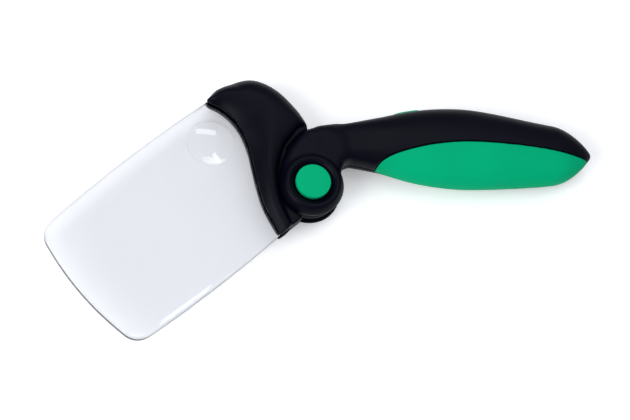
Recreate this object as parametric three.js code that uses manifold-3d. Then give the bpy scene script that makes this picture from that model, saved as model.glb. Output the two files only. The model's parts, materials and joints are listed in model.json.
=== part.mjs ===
// Folding illuminated magnifier: a rimless rectangular bifocal lens in a hinged, lit head,
// on a soft-touch battery handle. Millimetres, +Z up, origin on the fold axis at the flat
// rear hub cap. The handle lies along +X and the front of the magnifier faces +Z.
import * as THREE from "three";
import { mergeVertices } from "three/addons/utils/BufferGeometryUtils.js";
import Module from "manifold-3d";

const wasm = await Module();
wasm.setup();

// ---- driving dimensions ----------------------------------------------------------------
const MID_Z = 11; // parting plane of both housings
const SEAM = 0.15; // half of the gap along the parting plane
const GAP = 0.3; // clearance between pieces that touch

const HANDLE_TIP = 130;
const NECK_START = 6;
const NOSE_START = 112; // the handle's end rounds off from here to the tip
const HANDLE_WALL = 2.8;
const OVAL = 2.3; // superellipse exponent of the handle's section

// along X: the handle's centre line, half width and half thickness before the nose rounding
const HANDLE_CENTRE = [[6, 20.4], [16, 20.9], [31, 21.4], [46, 21.3], [76, 20.95], [106, 19.7], [130, 19.8]];
const HANDLE_HALF_WIDTH = [[6, 9], [16, 9.2], [31, 12.1], [46, 16.3], [61, 18.4], [76, 18.4], [106, 14.7], [130, 11]];
const HANDLE_HALF_DEPTH = [[6, 8], [16, 8.2], [30, 8.9], [50, 10.2], [70, 10.8], [90, 10.5], [108, 9.3], [130, 6.5]];

// upper edge of the green grip, on the front and on the rear of the handle
const GRIP_FRONT_EDGE = [[29.4, 9], [32.5, 12.1], [39.4, 15.3], [53.8, 19.1], [70, 21], [88, 20.8], [106, 19.6],
  [121, 17.6], [131, 16.4]];
const GRIP_REAR_EDGE = [[31, 8.4], [48, 8], [70, 7.8], [92, 8], [109, 8.8], [120, 12], [131, 16]];
const GRIP_SPLIT_Z = 9;
const GRIP_THICK = 1.5;

const HUB_R = 14.4; // ears of the hub
const HUB_REAR_Z = 1;
const HUB_CREST_Z = 20.6;
const LUG_HALF_DEPTH = 8.4; // flat part of the hub lug, each side of the parting plane
const SLOT_HALF = 4.6; // half of the slot between the ears
const WELL_R = 8.15; // round well of the release button
const WELL_FLOOR_Z = 16.9;
const SLOT_R = 13.8;
const SLOT_REACH = 19;
const SLOT_FROM = 136; // degrees, counterclockwise: where the slot is open to the side
const SLOT_TO = 380;

const HEAD_ANGLE = THREE.MathUtils.degToRad(220.1); // lens axis, away from the hinge
const TONGUE_R = 13.2;
const TONGUE_HALF = 3.8;
const TONGUE_FROM = -82; // degrees in the head's own frame
const TONGUE_TO = 25;
const HUB_CLEAR_R = 15.2;
const HEAD_WALL = 2.2;

// the head's edge over the lens and its outer edge, paired from the upper to the lower tip
const LENS_SIDE_EDGE = [[11.9, -58.4], [8.1, -53], [6.8, -46], [7.6, -38.5], [10.6, -30], [14.5, -23], [19, -14.5],
  [23.3, -5], [26.6, 8.6]];
const OUTER_EDGE = [[10.3, -59.9], [-4, -58.7], [-14.6, -53], [-19.6, -41], [-19, -25], [-9, -22.9], [4, -17.4],
  [13, -8.2], [18.6, 8.5]];
const HEAD_HALF_DEPTH = [[0, 5], [0.15, 8], [0.4, 9.6], [0.6, 9.4], [0.8, 8.4], [1, 6]];
const HEAD_OVAL = 3.4;
const LENS_SIDE_DEPTH = 0.55; // share of the half depth left at the edge over the lens

const LENS_TOP = -58.3; // across the lens, at its ends
const LENS_BOTTOM = 7.3;
const LENS_BOW = 1.6;
const LENS_END = 107.4;
const LENS_END_BOW = 2.3;
const LENS_CORNER_R = 8.5;
const LENS_HALF = 1.8;
const LENS_TAIL = 6; // how far the lens reaches into the head
const SPOT = [20.8, -42.7, 10.4]; // bifocal spot: centre and radius
const SPOT_RISE = 1.3; // above the lens's own flat, at the middle of the spot
const LENS_CROWN = 0.6; // each face is this much higher at the middle than at the ends
const LENS_PINS = [[3.6, -46], [17.9, -10]]; // moulded pegs that hold the lens in the head

const PRESS_ANGLE = THREE.MathUtils.degToRad(12); // slope of the handle's top under the light button
const LIGHT_BUTTON_X = 45;
const LIGHT_BUTTON_Y = 37.25;

const HANDLE_SCREWS = [[30, 21.5, 3.2], [45, 12.5, 3.6], [117.5, 19.6, 4.6]]; // x, y, z of the head's face
const HEAD_SCREWS = [[-5.5, -51, 4.2], [-14, -34, 4.2], [0.5, -26.5, 4.2]];
const SCREW_R = 1;
const SCREW_HEAD_R = 2;
const SCREW_TIP_Z = 15.6;
const BOSS_R = 2.7;

const RINGS = [10, 12]; // radii of the two slip rings under the tongue
const FINGER_ANGLE = 60; // degrees: where the sprung fingers reach the rings

const BATTERY_R = 5.25;
const BATTERY_LENGTH = 44.5;
const BATTERY_X = 59;
const BATTERY_YS = [14.7, 25.7];
const DOOR = { x0: 48, x1: 108, y0: 9.6, y1: 30.8, r: 5, thick: 2 };
const DOOR_SCREW = [51.6, 20.2];

const FINGER_WIRE_INNER = [[10, 14.8, 5.2], [11.4, 16.3, 5.6], [14, 16.4, 6], [22, 16.4, 6.2], [30, 16.4, 7],
  [38, 16, 7.3], [45, 16.7, 7.5], [51, 15.4, 8.5], [52.6, 14.7, 10]];
const FINGER_WIRE_OUTER = [[7.6, 16.2, 5.4], [9.2, 18.3, 6], [14, 18.6, 7.2], [22, 18.4, 7.4], [30, 17.6, 8.2],
  [36, 20.2, 9.6], [44.2, 24.2, 11]];
const BATTERY_WIRE = [[50, 25.2, 9], [51.2, 24.2, 9.2], [52.6, 25.2, 10.2]];
const LED_WIRE_INNER = [[2.8, -9.6, 9.2], [4.8, -15.1, 9.6], [6.5, -21.6, 9.9], [4.9, -26.8, 9.8], [1, -31, 9.6],
  [-1.5, -34, 9.2]];
const LED_WIRE_OUTER = [[4.7, -11.1, 8.9], [6.2, -15.1, 8.9], [7.6, -22.4, 8.8], [5.4, -28, 8.2], [2.4, -31.4, 7.8],
  [2, -36, 7.8]];

const LED_POINTS = [[-1.5, -44], [-1.5, -35]];

// ---- materials -------------------------------------------------------------------------
const BLACK = [0x16171d, 0.5, 0];
const GREEN = [0x02ae79, 0.45, 0];
const STEEL = [0xb9bcc0, 0.3, 1];
const BRASS = [0xc9a25a, 0.35, 1];
const CLEAR = [0xeef2f6, 0.05, 0];
const NYLON = [0xe8e6de, 0.5, 0];
const BOARD = [0x1f6b3a, 0.6, 0];
const CELL = [0x8f9399, 0.35, 0.6];
const RED = [0xb02a22, 0.5, 0];
const DARK = [0x202022, 0.6, 0];
const LED_YELLOW = [0xf3efc6, 0.2, 0];

// ---- solids ----------------------------------------------------------------------------
function solid(geometry) {
  geometry.deleteAttribute("normal");
  geometry.deleteAttribute("uv");
  const merged = mergeVertices(geometry, 1e-4);
  const index = merged.index.array;
  const position = merged.attributes.position;
  const corner = [new THREE.Vector3(), new THREE.Vector3(), new THREE.Vector3()];
  const triangles = [];
  let volume = 0;
  for (let i = 0; i < index.length; i += 3) {
    const [a, b, c] = [index[i], index[i + 1], index[i + 2]];
    if (a === b || b === c || c === a) continue;
    triangles.push(a, b, c);
    corner.forEach((point, k) => point.fromBufferAttribute(position, index[i + k]));
    volume += corner[0].dot(corner[1].cross(corner[2]));
  }
  if (volume < 0) triangles.reverse();
  const mesh = new wasm.Mesh({
    numProp: 3,
    vertProperties: new Float32Array(position.array),
    triVerts: new Uint32Array(triangles),
  });
  return new wasm.Manifold(mesh);
}

function geometryOf(body) {
  const mesh = body.getMesh();
  const geometry = new THREE.BufferGeometry();
  geometry.setAttribute("position", new THREE.BufferAttribute(new Float32Array(mesh.vertProperties), 3));
  geometry.setIndex(new THREE.BufferAttribute(new Uint32Array(mesh.triVerts), 1));
  geometry.computeVertexNormals();
  return geometry;
}

function cut(body, ...tools) {
  return tools.reduce((left, tool) => left.subtract(tool), body);
}

function join(...bodies) {
  return bodies.reduce((whole, body) => whole.add(body));
}

function cylinder(r, z0, z1, x = 0, y = 0, sides = 24) {
  const geometry = new THREE.CylinderGeometry(r, r, z1 - z0, sides);
  return solid(geometry.rotateX(Math.PI / 2).translate(x, y, (z0 + z1) / 2));
}

function box(x0, x1, y0, y1, z0, z1) {
  const geometry = new THREE.BoxGeometry(x1 - x0, y1 - y0, z1 - z0);
  return solid(geometry.translate((x0 + x1) / 2, (y0 + y1) / 2, (z0 + z1) / 2));
}

// a solid of revolution about Z from [radius, z] pairs; it closes along the axis or on itself
function lathe(profile, sides = 24) {
  const points = profile.map(([r, z]) => new THREE.Vector2(r, z));
  if (profile[0][0] > 0) points.push(points[0].clone());
  return solid(new THREE.LatheGeometry(points, sides).rotateX(Math.PI / 2));
}

function prism(shape, z0, z1, curveSegments = 6) {
  const geometry = new THREE.ExtrudeGeometry(shape, { depth: z1 - z0, bevelEnabled: false, curveSegments });
  return solid(geometry.translate(0, 0, z0));
}

function polygon(points) {
  return new THREE.Shape(points.map(([x, y]) => new THREE.Vector2(x, y)));
}

function spline(points) {
  return new THREE.SplineCurve(points.map(([x, y]) => new THREE.Vector2(x, y)));
}

function roundedRectangle(x0, x1, y0, y1, r) {
  const shape = new THREE.Shape();
  shape.absarc(x1 - r, y0 + r, r, -Math.PI / 2, 0);
  shape.absarc(x1 - r, y1 - r, r, 0, Math.PI / 2);
  shape.absarc(x0 + r, y1 - r, r, Math.PI / 2, Math.PI);
  shape.absarc(x0 + r, y0 + r, r, Math.PI, 1.5 * Math.PI);
  shape.closePath();
  return shape;
}

function stadium(length, width) {
  const [r, reach] = [width / 2, (length - width) / 2];
  const shape = new THREE.Shape();
  shape.absarc(reach, 0, r, -Math.PI / 2, Math.PI / 2);
  shape.absarc(-reach, 0, r, Math.PI / 2, 1.5 * Math.PI);
  shape.closePath();
  return shape;
}

function circle(r) {
  const shape = new THREE.Shape();
  shape.absarc(0, 0, r, 0, 2 * Math.PI);
  return shape;
}

function tube(points, r, steps, sides = 8) {
  const path = new THREE.CatmullRomCurve3(points.map((p) => new THREE.Vector3(...p)));
  const options = { steps, bevelEnabled: false, extrudePath: path, curveSegments: sides };
  return solid(new THREE.ExtrudeGeometry(circle(r), options));
}

// a smooth curve through [x, value] pairs
function smooth(pairs) {
  const last = pairs.length - 1;
  const slope = (i) => {
    const [a, b] = [pairs[Math.max(i - 1, 0)], pairs[Math.min(i + 1, last)]];
    return (b[1] - a[1]) / (b[0] - a[0]);
  };
  return (x) => {
    let i = 0;
    while (i < last - 1 && x > pairs[i + 1][0]) i++;
    const step = pairs[i + 1][0] - pairs[i][0];
    const t = (x - pairs[i][0]) / step;
    const rise = t * t * (3 - 2 * t);
    const bend = t * (1 - t) * step * ((1 - t) * slope(i) - t * slope(i + 1));
    return pairs[i][1] * (1 - rise) + pairs[i + 1][1] * rise + bend;
  };
}

// bends a unit cylinder into a lofted body: place(along, across, up) gives each point,
// across and up running round a superellipse
function loft(sides, stations, exponent, place) {
  const geometry = new THREE.CylinderGeometry(1, 1, 1, sides, stations);
  const position = geometry.attributes.position;
  const swell = (v) => Math.sign(v) * Math.abs(v) ** (2 / exponent);
  for (let i = 0; i < position.count; i++) {
    const [across, up] = [position.getX(i), position.getZ(i)].map((v) => (Math.abs(v) < 1e-6 ? 0 : v));
    const point = place(position.getY(i) + 0.5, swell(across), swell(up));
    position.setXYZ(i, ...point);
  }
  return solid(geometry);
}

// ---- handle body -----------------------------------------------------------------------
const handleCentre = smooth(HANDLE_CENTRE);
const handleHalfWidth = smooth(HANDLE_HALF_WIDTH);
const handleHalfDepth = smooth(HANDLE_HALF_DEPTH);

function handleBody(inset = 0, start = NECK_START, sides = 20, stations = 17) {
  const end = HANDLE_TIP - 1.3 * inset;
  return loft(sides, stations, OVAL, (along, across, up) => {
    const x = start + (end - start) * (1 - (1 - along) ** 1.5);
    const nose = Math.max(1 - (Math.max(x - NOSE_START, 0) / (HANDLE_TIP - NOSE_START)) ** 2, 0);
    const halfWidth = Math.max(handleHalfWidth(x) * nose ** 0.8 - inset, 0.4);
    const halfDepth = Math.max(handleHalfDepth(x) * nose ** 0.5 - inset, 0.4);
    return [x, handleCentre(x) + halfWidth * across, MID_Z + halfDepth * up];
  });
}

// plan outline of the hub and the neck's root: round hub, concave notch under the neck and
// a rounded corner behind the head
function lugShape() {
  const deg = THREE.MathUtils.degToRad;
  const shape = new THREE.Shape();
  shape.moveTo(22, 12.5);
  shape.lineTo(18, 11.6);
  shape.quadraticCurveTo(14.6, 10.2, HUB_R * Math.cos(deg(20)), HUB_R * Math.sin(deg(20)));
  shape.absarc(0, 0, HUB_R, deg(20), deg(-210), true);
  shape.bezierCurveTo(-10.6, 12.2, -7, 19.5, -1.8, 26.2);
  shape.quadraticCurveTo(0.2, 28.6, 3, 28.9);
  shape.lineTo(22, 30.2);
  shape.closePath();
  return shape;
}

function lugBody() {
  const [rimDepth, rimWidth] = [4.5, 3.4];
  const depth = 2 * (LUG_HALF_DEPTH - rimDepth);
  const geometry = new THREE.ExtrudeGeometry(lugShape(), {
    depth, bevelThickness: rimDepth, bevelSize: rimWidth, bevelOffset: -rimWidth, bevelSegments: 2, curveSegments: 8,
  });
  return solid(geometry.translate(0, 0, MID_Z - depth / 2));
}

function hubBody() {
  const rise = MID_Z - HUB_REAR_Z + 0.2;
  const profile = [[0, HUB_REAR_Z]];
  for (let i = -3; i <= 3; i++) {
    const level = i < 0 ? (MID_Z - HUB_REAR_Z) * (i / 3) : (HUB_CREST_Z - MID_Z) * (i / 3);
    profile.push([Math.max(HUB_R * (1 - Math.abs(level / rise) ** 2.6) ** (1 / 2.6), 9.3), MID_Z + level]);
  }
  profile.push([0, HUB_CREST_Z]);
  return lathe(profile, 32);
}

function slotTool() {
  const deg = THREE.MathUtils.degToRad;
  const side = new THREE.Shape();
  side.moveTo(0, 0);
  side.absarc(0, 0, SLOT_REACH, deg(SLOT_FROM), deg(SLOT_TO));
  side.closePath();
  const [z0, z1] = [MID_Z - SLOT_HALF, MID_Z + SLOT_HALF];
  return join(prism(side, z0, z1), cylinder(SLOT_R, z0, z1, 0, 0, 28));
}

function gripRegion(margin = 0) {
  const outline = (edge) => {
    const points = spline(edge).getPoints(14).map((p) => [p.x, p.y + margin]);
    points[0][0] -= margin;
    return polygon([[edge[0][0] - margin - 0.5, -10], ...points, [140, points.at(-1)[1]], [140, -10]]);
  };
  return join(
    prism(outline(GRIP_FRONT_EDGE), GRIP_SPLIT_Z - margin, 40),
    prism(outline(GRIP_REAR_EDGE), -10, GRIP_SPLIT_Z),
  );
}

function gripRecess() {
  return cut(handleBody(-1), handleBody(GRIP_THICK + GAP)).intersect(gripRegion(GAP));
}

// the light button's frame: X along the handle's top, Z out of it, Y towards the rear
function onHandleTop(body) {
  const along = new THREE.Vector3(Math.cos(PRESS_ANGLE), Math.sin(PRESS_ANGLE), 0);
  const out = new THREE.Vector3(-Math.sin(PRESS_ANGLE), Math.cos(PRESS_ANGLE), 0);
  const matrix = new THREE.Matrix4().makeBasis(along, new THREE.Vector3(0, 0, -1), out);
  matrix.setPosition(LIGHT_BUTTON_X, LIGHT_BUTTON_Y, MID_Z);
  return body.transform(matrix.elements);
}

function lightButtonPocket() {
  return onHandleTop(join(prism(stadium(14.6, 7.6), -4, 5), prism(stadium(17.4, 9), -6.2, -3.1)));
}

function screwHole([x, y, z]) {
  return join(
    cylinder(SCREW_HEAD_R + GAP, -5, z + 1.6, x, y, 16),
    cylinder(SCREW_R + 0.25, z, SCREW_TIP_Z + GAP, x, y, 12),
  );
}

function bosses(points, limit, z0, z1) {
  return points.map(([x, y]) => cylinder(BOSS_R, z0, z1, x, y, 16).intersect(limit));
}

function handleOuter() {
  return join(handleBody(), lugBody(), hubBody());
}

const upperHalf = () => box(-200, 200, -200, 200, MID_Z + SEAM, 60);
const lowerHalf = () => box(-200, 200, -200, 200, -60, MID_Z - SEAM);

function handleFrontShell() {
  const skin = handleBody(1);
  const cavity = handleBody(HANDLE_WALL, 24, 16, 10);
  const posts = bosses([...HANDLE_SCREWS, DOOR_SCREW], skin, MID_Z + SEAM, 40);
  const ribs = [box(53.4, 54.8, 8, 33, MID_Z + SEAM, 30), box(105.2, 106.4, 8, 31, MID_Z + SEAM, 30)];
  const doorPost = cylinder(BOSS_R, MID_Z - 2, MID_Z + 2, ...DOOR_SCREW, 20);
  const shell = join(
    cut(handleOuter().intersect(upperHalf()), cavity), ...posts, ...ribs.map((rib) => rib.intersect(skin)), doorPost);
  return cut(
    shell, slotTool(), gripRecess(), lightButtonPocket(),
    cylinder(4.6, 14, 30), cylinder(WELL_R, WELL_FLOOR_Z, 30, 0, 0, 32),
    lathe([[0, 19], [WELL_R, 19], [WELL_R + 1.6, 22], [0, 22]], 32),
    ...HANDLE_SCREWS.map(screwHole), cylinder(SCREW_R + 0.25, 0, SCREW_TIP_Z, ...DOOR_SCREW, 16));
}

function doorRegion(margin, z0, z1) {
  return prism(roundedRectangle(DOOR.x0 - margin, DOOR.x1 + margin, DOOR.y0 - margin, DOOR.y1 + margin,
    DOOR.r + margin), z0, z1);
}

function handleRearShell() {
  const skin = handleBody(1);
  const cavity = handleBody(HANDLE_WALL, 24, 16, 10);
  const posts = bosses(HANDLE_SCREWS, skin, -10, MID_Z - SEAM);
  const shell = join(cut(handleOuter().intersect(lowerHalf()), cavity), ...posts);
  return cut(
    shell, slotTool(), gripRecess(), lightButtonPocket(), doorRegion(GAP, -10, 30), ...HANDLE_SCREWS.map(screwHole),
    cylinder(8, -5, 1.7, 0, 0, 32), cylinder(5.3, 0, 2.8), cylinder(2.85, 2, 8, 0, 0, 6), cylinder(6.9, 3.7, 12),
    fingerPocket(), box(8, 28, 15.5, 19.5, 4.8, 8.4));
}

function gripInlay() {
  return cut(handleBody(), handleBody(GRIP_THICK)).intersect(gripRegion());
}

function batteryDoor() {
  const skin = cut(handleBody(), handleBody(DOOR.thick)).intersect(doorRegion(0, -10, 8));
  const [x, y] = DOOR_SCREW;
  return cut(skin, cylinder(SCREW_HEAD_R + GAP, -5, 2.1, x, y, 16), cylinder(SCREW_R + 0.25, -5, 8, x, y, 12));
}

// a cross-head screw from below: z is its head's lower face, tip its end
function screw([x, y, z], tip = SCREW_TIP_Z) {
  const blank = lathe([[0, z], [SCREW_HEAD_R - 0.3, z], [SCREW_HEAD_R, z + 0.4], [SCREW_HEAD_R, z + 1.4],
    [SCREW_R, z + 1.4], [SCREW_R, tip - 0.8], [0, tip]], 12);
  return cut(blank, box(-1.2, 1.2, -0.3, 0.3, z - 1, z + 0.8), box(-0.3, 0.3, -1.2, 1.2, z - 1, z + 0.8))
    .translate([x, y, 0]);
}

// ---- handle insides --------------------------------------------------------------------
function fingerPocket() {
  return box(8.9, 21, -2.9, 2.9, 3.7, 7).rotate([0, 0, FINGER_ANGLE]);
}

function contactFinger(ringR, side) {
  const profile = polygon([[17.2, 4], [17.2, 4.4], [ringR + 2.8, 4.4], [ringR + 0.6, 6.95], [ringR - 0.4, 6.95],
    [ringR - 0.6, 6.5], [ringR + 0.3, 6.5], [ringR + 2.6, 4]]);
  const strip = prism(profile, -0.6, 0.6);
  return strip.rotate([90, 0, 0]).translate([0, side * 1.4, 0]).rotate([0, 0, FINGER_ANGLE]);
}

function battery(y) {
  const rim = BATTERY_R - 0.5;
  const profile = [[0, 0], [3.4, 0], [3.4, 0.3], [rim, 0.3], [BATTERY_R, 0.8], [BATTERY_R, BATTERY_LENGTH - 1.6],
    [rim, BATTERY_LENGTH - 1.1], [1.9, BATTERY_LENGTH - 1.1], [1.9, BATTERY_LENGTH], [0, BATTERY_LENGTH]];
  return lathe(profile, 16).rotate([0, 90, 0]).translate([BATTERY_X, y, MID_Z]);
}

function coil(r0, r1, wire, z0, z1, turns, steps) {
  const points = [];
  for (let i = 0; i <= steps; i++) {
    const [t, turn] = [i / steps, (2 * Math.PI * turns * i) / steps];
    const r = r0 + (r1 - r0) * t;
    points.push([r * Math.cos(turn), r * Math.sin(turn), z0 + (z1 - z0) * t]);
  }
  return tube(points, wire, steps, 2);
}

function batterySpring(y) {
  return coil(3.4, 1.6, 0.3, 0, 3.2, 3, 27).rotate([0, 90, 0]).translate([BATTERY_X - 3.7, y, MID_Z]);
}

function contactPlate() {
  const [x, y] = [BATTERY_X + BATTERY_LENGTH + 0.2, (BATTERY_YS[0] + BATTERY_YS[1]) / 2];
  return box(x, x + 0.5, y - 9, y + 9, MID_Z - 3, MID_Z + 3);
}

function switchBody() {
  return onHandleTop(cut(box(-3.5, 3.5, -3, 3, -10.2, -6.4), cylinder(1.5, -9.2, 0, 0, 0, 20)));
}

function circuitBoard() {
  return onHandleTop(box(-8, 5, -4.5, 4.5, -11.8, -10.5));
}

function lightButton() {
  const cap = new THREE.ExtrudeGeometry(stadium(14, 7), {
    depth: 3.4, bevelThickness: 0.8, bevelSize: 1, bevelOffset: -1, bevelSegments: 2, curveSegments: 5,
  });
  const flange = prism(stadium(16.4, 8), -4.4, -3.6);
  return onHandleTop(join(cut(solid(cap.translate(0, 0, -3.2)), box(-9, 9, -5, 5, -9, -3.7)), flange));
}

function switchPlunger() {
  return onHandleTop(cylinder(1.2, -7.6, -4.6, 0, 0, 16));
}

function doorScrew() {
  return screw([...DOOR_SCREW, 0.5], 14.5);
}

// ---- hub mechanism ---------------------------------------------------------------------
function pivotPin() {
  return join(cylinder(5, 1.9, 2.6, 0, 0, 28), cylinder(2.5, 2.4, 12.4, 0, 0, 6), cylinder(2.4, 12, 16.6, 0, 0, 24));
}

function rearCap() {
  return lathe([[0, 0], [7.2, 0], [7.7, 0.5], [7.7, 1.4], [0, 1.4]]);
}

function washer(inner, outer, z0) {
  return lathe([[inner, z0], [outer, z0], [outer, z0 + 0.6], [inner, z0 + 0.6]]);
}

function clutchCone() {
  return cut(lathe([[0, 7.4], [6, 7.4], [4.6, 12.4], [0, 12.4]], 32), cylinder(2.85, 0, 20, 0, 0, 6));
}

function clutchSpring() {
  return coil(4.4, 4.4, 0.35, 4.3, 6.8, 2.5, 28);
}

function releaseButton() {
  return lathe([[0, 18], [2.8, 18], [2.8, 12.7], [4.2, 12.7], [4.2, 18.3], [7.75, 18.3], [7.75, 20.3], [7.55, 20.6],
    [7.1, 20.75], [4, 20.95], [0, 21.05]], 32);
}

// ---- head ------------------------------------------------------------------------------
const headHalfDepth = smooth(HEAD_HALF_DEPTH);
const lensSideEdge = spline(LENS_SIDE_EDGE);
const outerEdge = spline(OUTER_EDGE);

function headBody(inset = 0, from = 0, to = 1, sides = 18, stations = 18) {
  return loft(sides, stations, HEAD_OVAL, (along, across, up) => {
    const place = from + (to - from) * along;
    const [inner, outer] = [lensSideEdge.getPoint(place), outerEdge.getPoint(place)];
    const width = outer.distanceTo(inner);
    const share = 0.5 + (across * (width / 2 - inset)) / width;
    const ramp = Math.min(Math.max(share / 0.45, 0), 1);
    const taper = LENS_SIDE_DEPTH + (1 - LENS_SIDE_DEPTH) * ramp * ramp * (3 - 2 * ramp);
    const point = inner.lerp(outer, share);
    return [point.x, point.y, MID_Z + (headHalfDepth(place) * taper - inset) * up];
  });
}

function tongueSolid(z0, z1) {
  const deg = THREE.MathUtils.degToRad;
  const bridge = new THREE.Shape();
  bridge.moveTo(0, 0);
  bridge.absarc(0, 0, 19, deg(TONGUE_FROM), deg(TONGUE_TO));
  bridge.closePath();
  return join(prism(bridge, z0, z1), cylinder(TONGUE_R, z0, z1, 0, 0, 28));
}

function lensShape(margin = 0) {
  const [top, bottom, end, r] = [LENS_TOP - margin, LENS_BOTTOM + margin, LENS_END + margin, LENS_CORNER_R];
  const middle = (top + bottom) / 2;
  const shape = new THREE.Shape();
  shape.moveTo(-10, top);
  shape.lineTo(8, top);
  shape.quadraticCurveTo(52, top - 2 * LENS_BOW, end - r, top);
  shape.quadraticCurveTo(end - 0.9, top + 0.9, end, top + r);
  shape.quadraticCurveTo(end + 2 * LENS_END_BOW, middle, end, bottom - r);
  shape.quadraticCurveTo(end - 0.9, bottom - 0.9, end - r, bottom);
  shape.quadraticCurveTo(52, bottom + 2 * LENS_BOW, 8, bottom);
  shape.lineTo(-10, bottom);
  shape.closePath();
  return shape;
}

function lensTailRegion(tail) {
  const edge = lensSideEdge.getPoints(24).map((p) => [p.x - tail, p.y]);
  return prism(polygon([[edge[0][0], -70], ...edge, [edge.at(-1)[0], 20], [130, 20], [130, -70]]), 0, 30);
}

function lens() {
  const blank = [[0, MID_Z - LENS_HALF - LENS_CROWN]];
  for (let i = 1; i <= 3; i++) blank.push([i * 24, MID_Z - LENS_HALF - LENS_CROWN * (1 - (i / 3) ** 2)]);
  for (let i = 3; i >= 0; i--) blank.push([i * 24, MID_Z + LENS_HALF + LENS_CROWN * (1 - (i / 3) ** 2)]);
  const body = prism(lensShape(), 0, 30, 8).intersect(lathe(blank, 28).translate([52, -25.5, 0]));
  const [x, y, r] = SPOT;
  const spot = lathe([[0, MID_Z], [r, MID_Z], [r, MID_Z + LENS_HALF + 0.35], [r * 0.6, MID_Z + LENS_HALF + 0.9],
    [0, MID_Z + LENS_HALF + SPOT_RISE]], 24).translate([x, y, 0]);
  const pins = LENS_PINS.map(([px, py]) => cylinder(1.6, 0, 30, px, py, 16));
  return cut(join(body, spot).intersect(lensTailRegion(LENS_TAIL)), ...pins);
}

function lensPocket() {
  const half = LENS_HALF + 0.7;
  const region = prism(lensShape(GAP), MID_Z - half, MID_Z + half, 8);
  return region.intersect(lensTailRegion(LENS_TAIL + GAP));
}

function headShell(half, z0, z1) {
  const shell = cut(headBody().intersect(half), cylinder(HUB_CLEAR_R, -10, 40, 0, 0, 28));
  return cut(join(shell, tongueSolid(z0, z1)), headBody(HEAD_WALL, 0.1, 0.68, 12, 10));
}

function headFrontShell() {
  const skin = headBody(1);
  const posts = bosses(HEAD_SCREWS, skin, MID_Z + SEAM, 40);
  const shell = join(headShell(upperHalf(), MID_Z + SEAM, MID_Z + TONGUE_HALF), ...posts);
  const pins = LENS_PINS.map(([x, y]) => cylinder(1.3, MID_Z - 1.5, MID_Z + 6, x, y, 16).intersect(skin));
  const hollow = cut(shell, lensPocket(), cylinder(8.5, 0, 30), ...HEAD_SCREWS.map(screwHole));
  return join(hollow, ...pins);
}

function windowRegion(margin, z0, z1) {
  const [u, v] = [LED_POINTS[0][0], (LED_POINTS[0][1] + LED_POINTS[1][1]) / 2];
  return prism(stadium(18 + 2 * margin, 6 + 2 * margin), z0, z1).rotate([0, 0, 90]).translate([u, v, 0]);
}

function headRearShell() {
  const skin = headBody(1);
  const posts = bosses(HEAD_SCREWS, skin, -10, MID_Z - SEAM);
  const shell = join(headShell(lowerHalf(), MID_Z - TONGUE_HALF, MID_Z - SEAM), ...posts);
  const channel = box(9, 24, -1.4, 1.4, 8.2, 20).rotate([0, 0, -70]);
  const grooves = RINGS.map((r) => ringSolid(r, 0.2, 0.2));
  return cut(shell, lensPocket(), cylinder(8.5, 0, 30), ...HEAD_SCREWS.map(screwHole), windowRegion(GAP, -10, 8),
    channel, ...grooves);
}

function ringSolid(r, side = 0, rise = 0) {
  const [z0, z1] = [MID_Z - TONGUE_HALF - (side ? 1 : 0), MID_Z - TONGUE_HALF + 0.5 + rise];
  return lathe([[r - 0.55 - side, z0], [r + 0.55 + side, z0], [r + 0.55 + side, z1], [r - 0.55 - side, z1]]);
}

function pivotBush() {
  const [z0, z1] = [MID_Z - TONGUE_HALF, MID_Z + TONGUE_HALF];
  return lathe([[8.2, z0], [8.2, z1], [4.6, z1], [4.6, 12.7], [4.95, 12.4], [6.4, z0]]);
}

function ledBoard() {
  return box(-5.2, 0.9, -47.5, -31.5, 7.5, 8.4);
}

function led([x, y]) {
  return lathe([[0, 4.7], [1.2, 4.9], [2, 5.7], [2, 6.6], [2.4, 6.6], [2.4, 7.3], [0, 7.3]], 12).translate([x, y, 0]);
}

function ledWindow() {
  return cut(headBody(0.2), headBody(1.4)).intersect(windowRegion(0, -5, 8));
}

// ---- the assembly ----------------------------------------------------------------------
const magnifier = new THREE.Group();
const head = new THREE.Group();
head.rotation.z = HEAD_ANGLE;
magnifier.add(head);

function add(group, name, body, [color, roughness, metalness], opacity = 1) {
  const material = new THREE.MeshStandardMaterial({
    color, roughness, metalness, opacity, transparent: opacity < 1, flatShading: true,
  });
  const mesh = new THREE.Mesh(geometryOf(body), material);
  mesh.name = name;
  group.add(mesh);
}

function wire(points, steps = 14) {
  return tube(points, 0.5, steps, 2);
}

add(magnifier, "handle_front_shell", handleFrontShell(), BLACK);
add(magnifier, "handle_rear_shell", handleRearShell(), BLACK);
add(magnifier, "grip_inlay", gripInlay(), GREEN);
HANDLE_SCREWS.forEach((at, i) => add(magnifier, `handle_screw_${i + 1}`, screw(at), STEEL));
add(magnifier, "rear_cap", rearCap(), BLACK);
add(magnifier, "pivot_pin", pivotPin(), STEEL);
add(magnifier, "washer_front", washer(8.8, 12.6, 14.9), NYLON);
add(magnifier, "washer_rear", washer(7.1, 8.7, 6.5), NYLON);
add(magnifier, "clutch_spring", clutchSpring(), STEEL);
add(magnifier, "contact_finger_inner", contactFinger(RINGS[0], -1), BRASS);
add(magnifier, "contact_finger_outer", contactFinger(RINGS[1], 1), BRASS);
BATTERY_YS.forEach((y, i) => add(magnifier, `battery_${i + 1}`, battery(y), CELL));
BATTERY_YS.forEach((y, i) => add(magnifier, `battery_spring_${i + 1}`, batterySpring(y), STEEL));
add(magnifier, "battery_contact_plate", contactPlate(), STEEL);
add(magnifier, "switch_body", switchBody(), DARK);
add(magnifier, "circuit_board", circuitBoard(), BOARD);
add(magnifier, "finger_wire_inner", wire(FINGER_WIRE_INNER), DARK);
add(magnifier, "finger_wire_outer", wire(FINGER_WIRE_OUTER), RED);
add(magnifier, "battery_wire", wire(BATTERY_WIRE, 6), RED);

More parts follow.
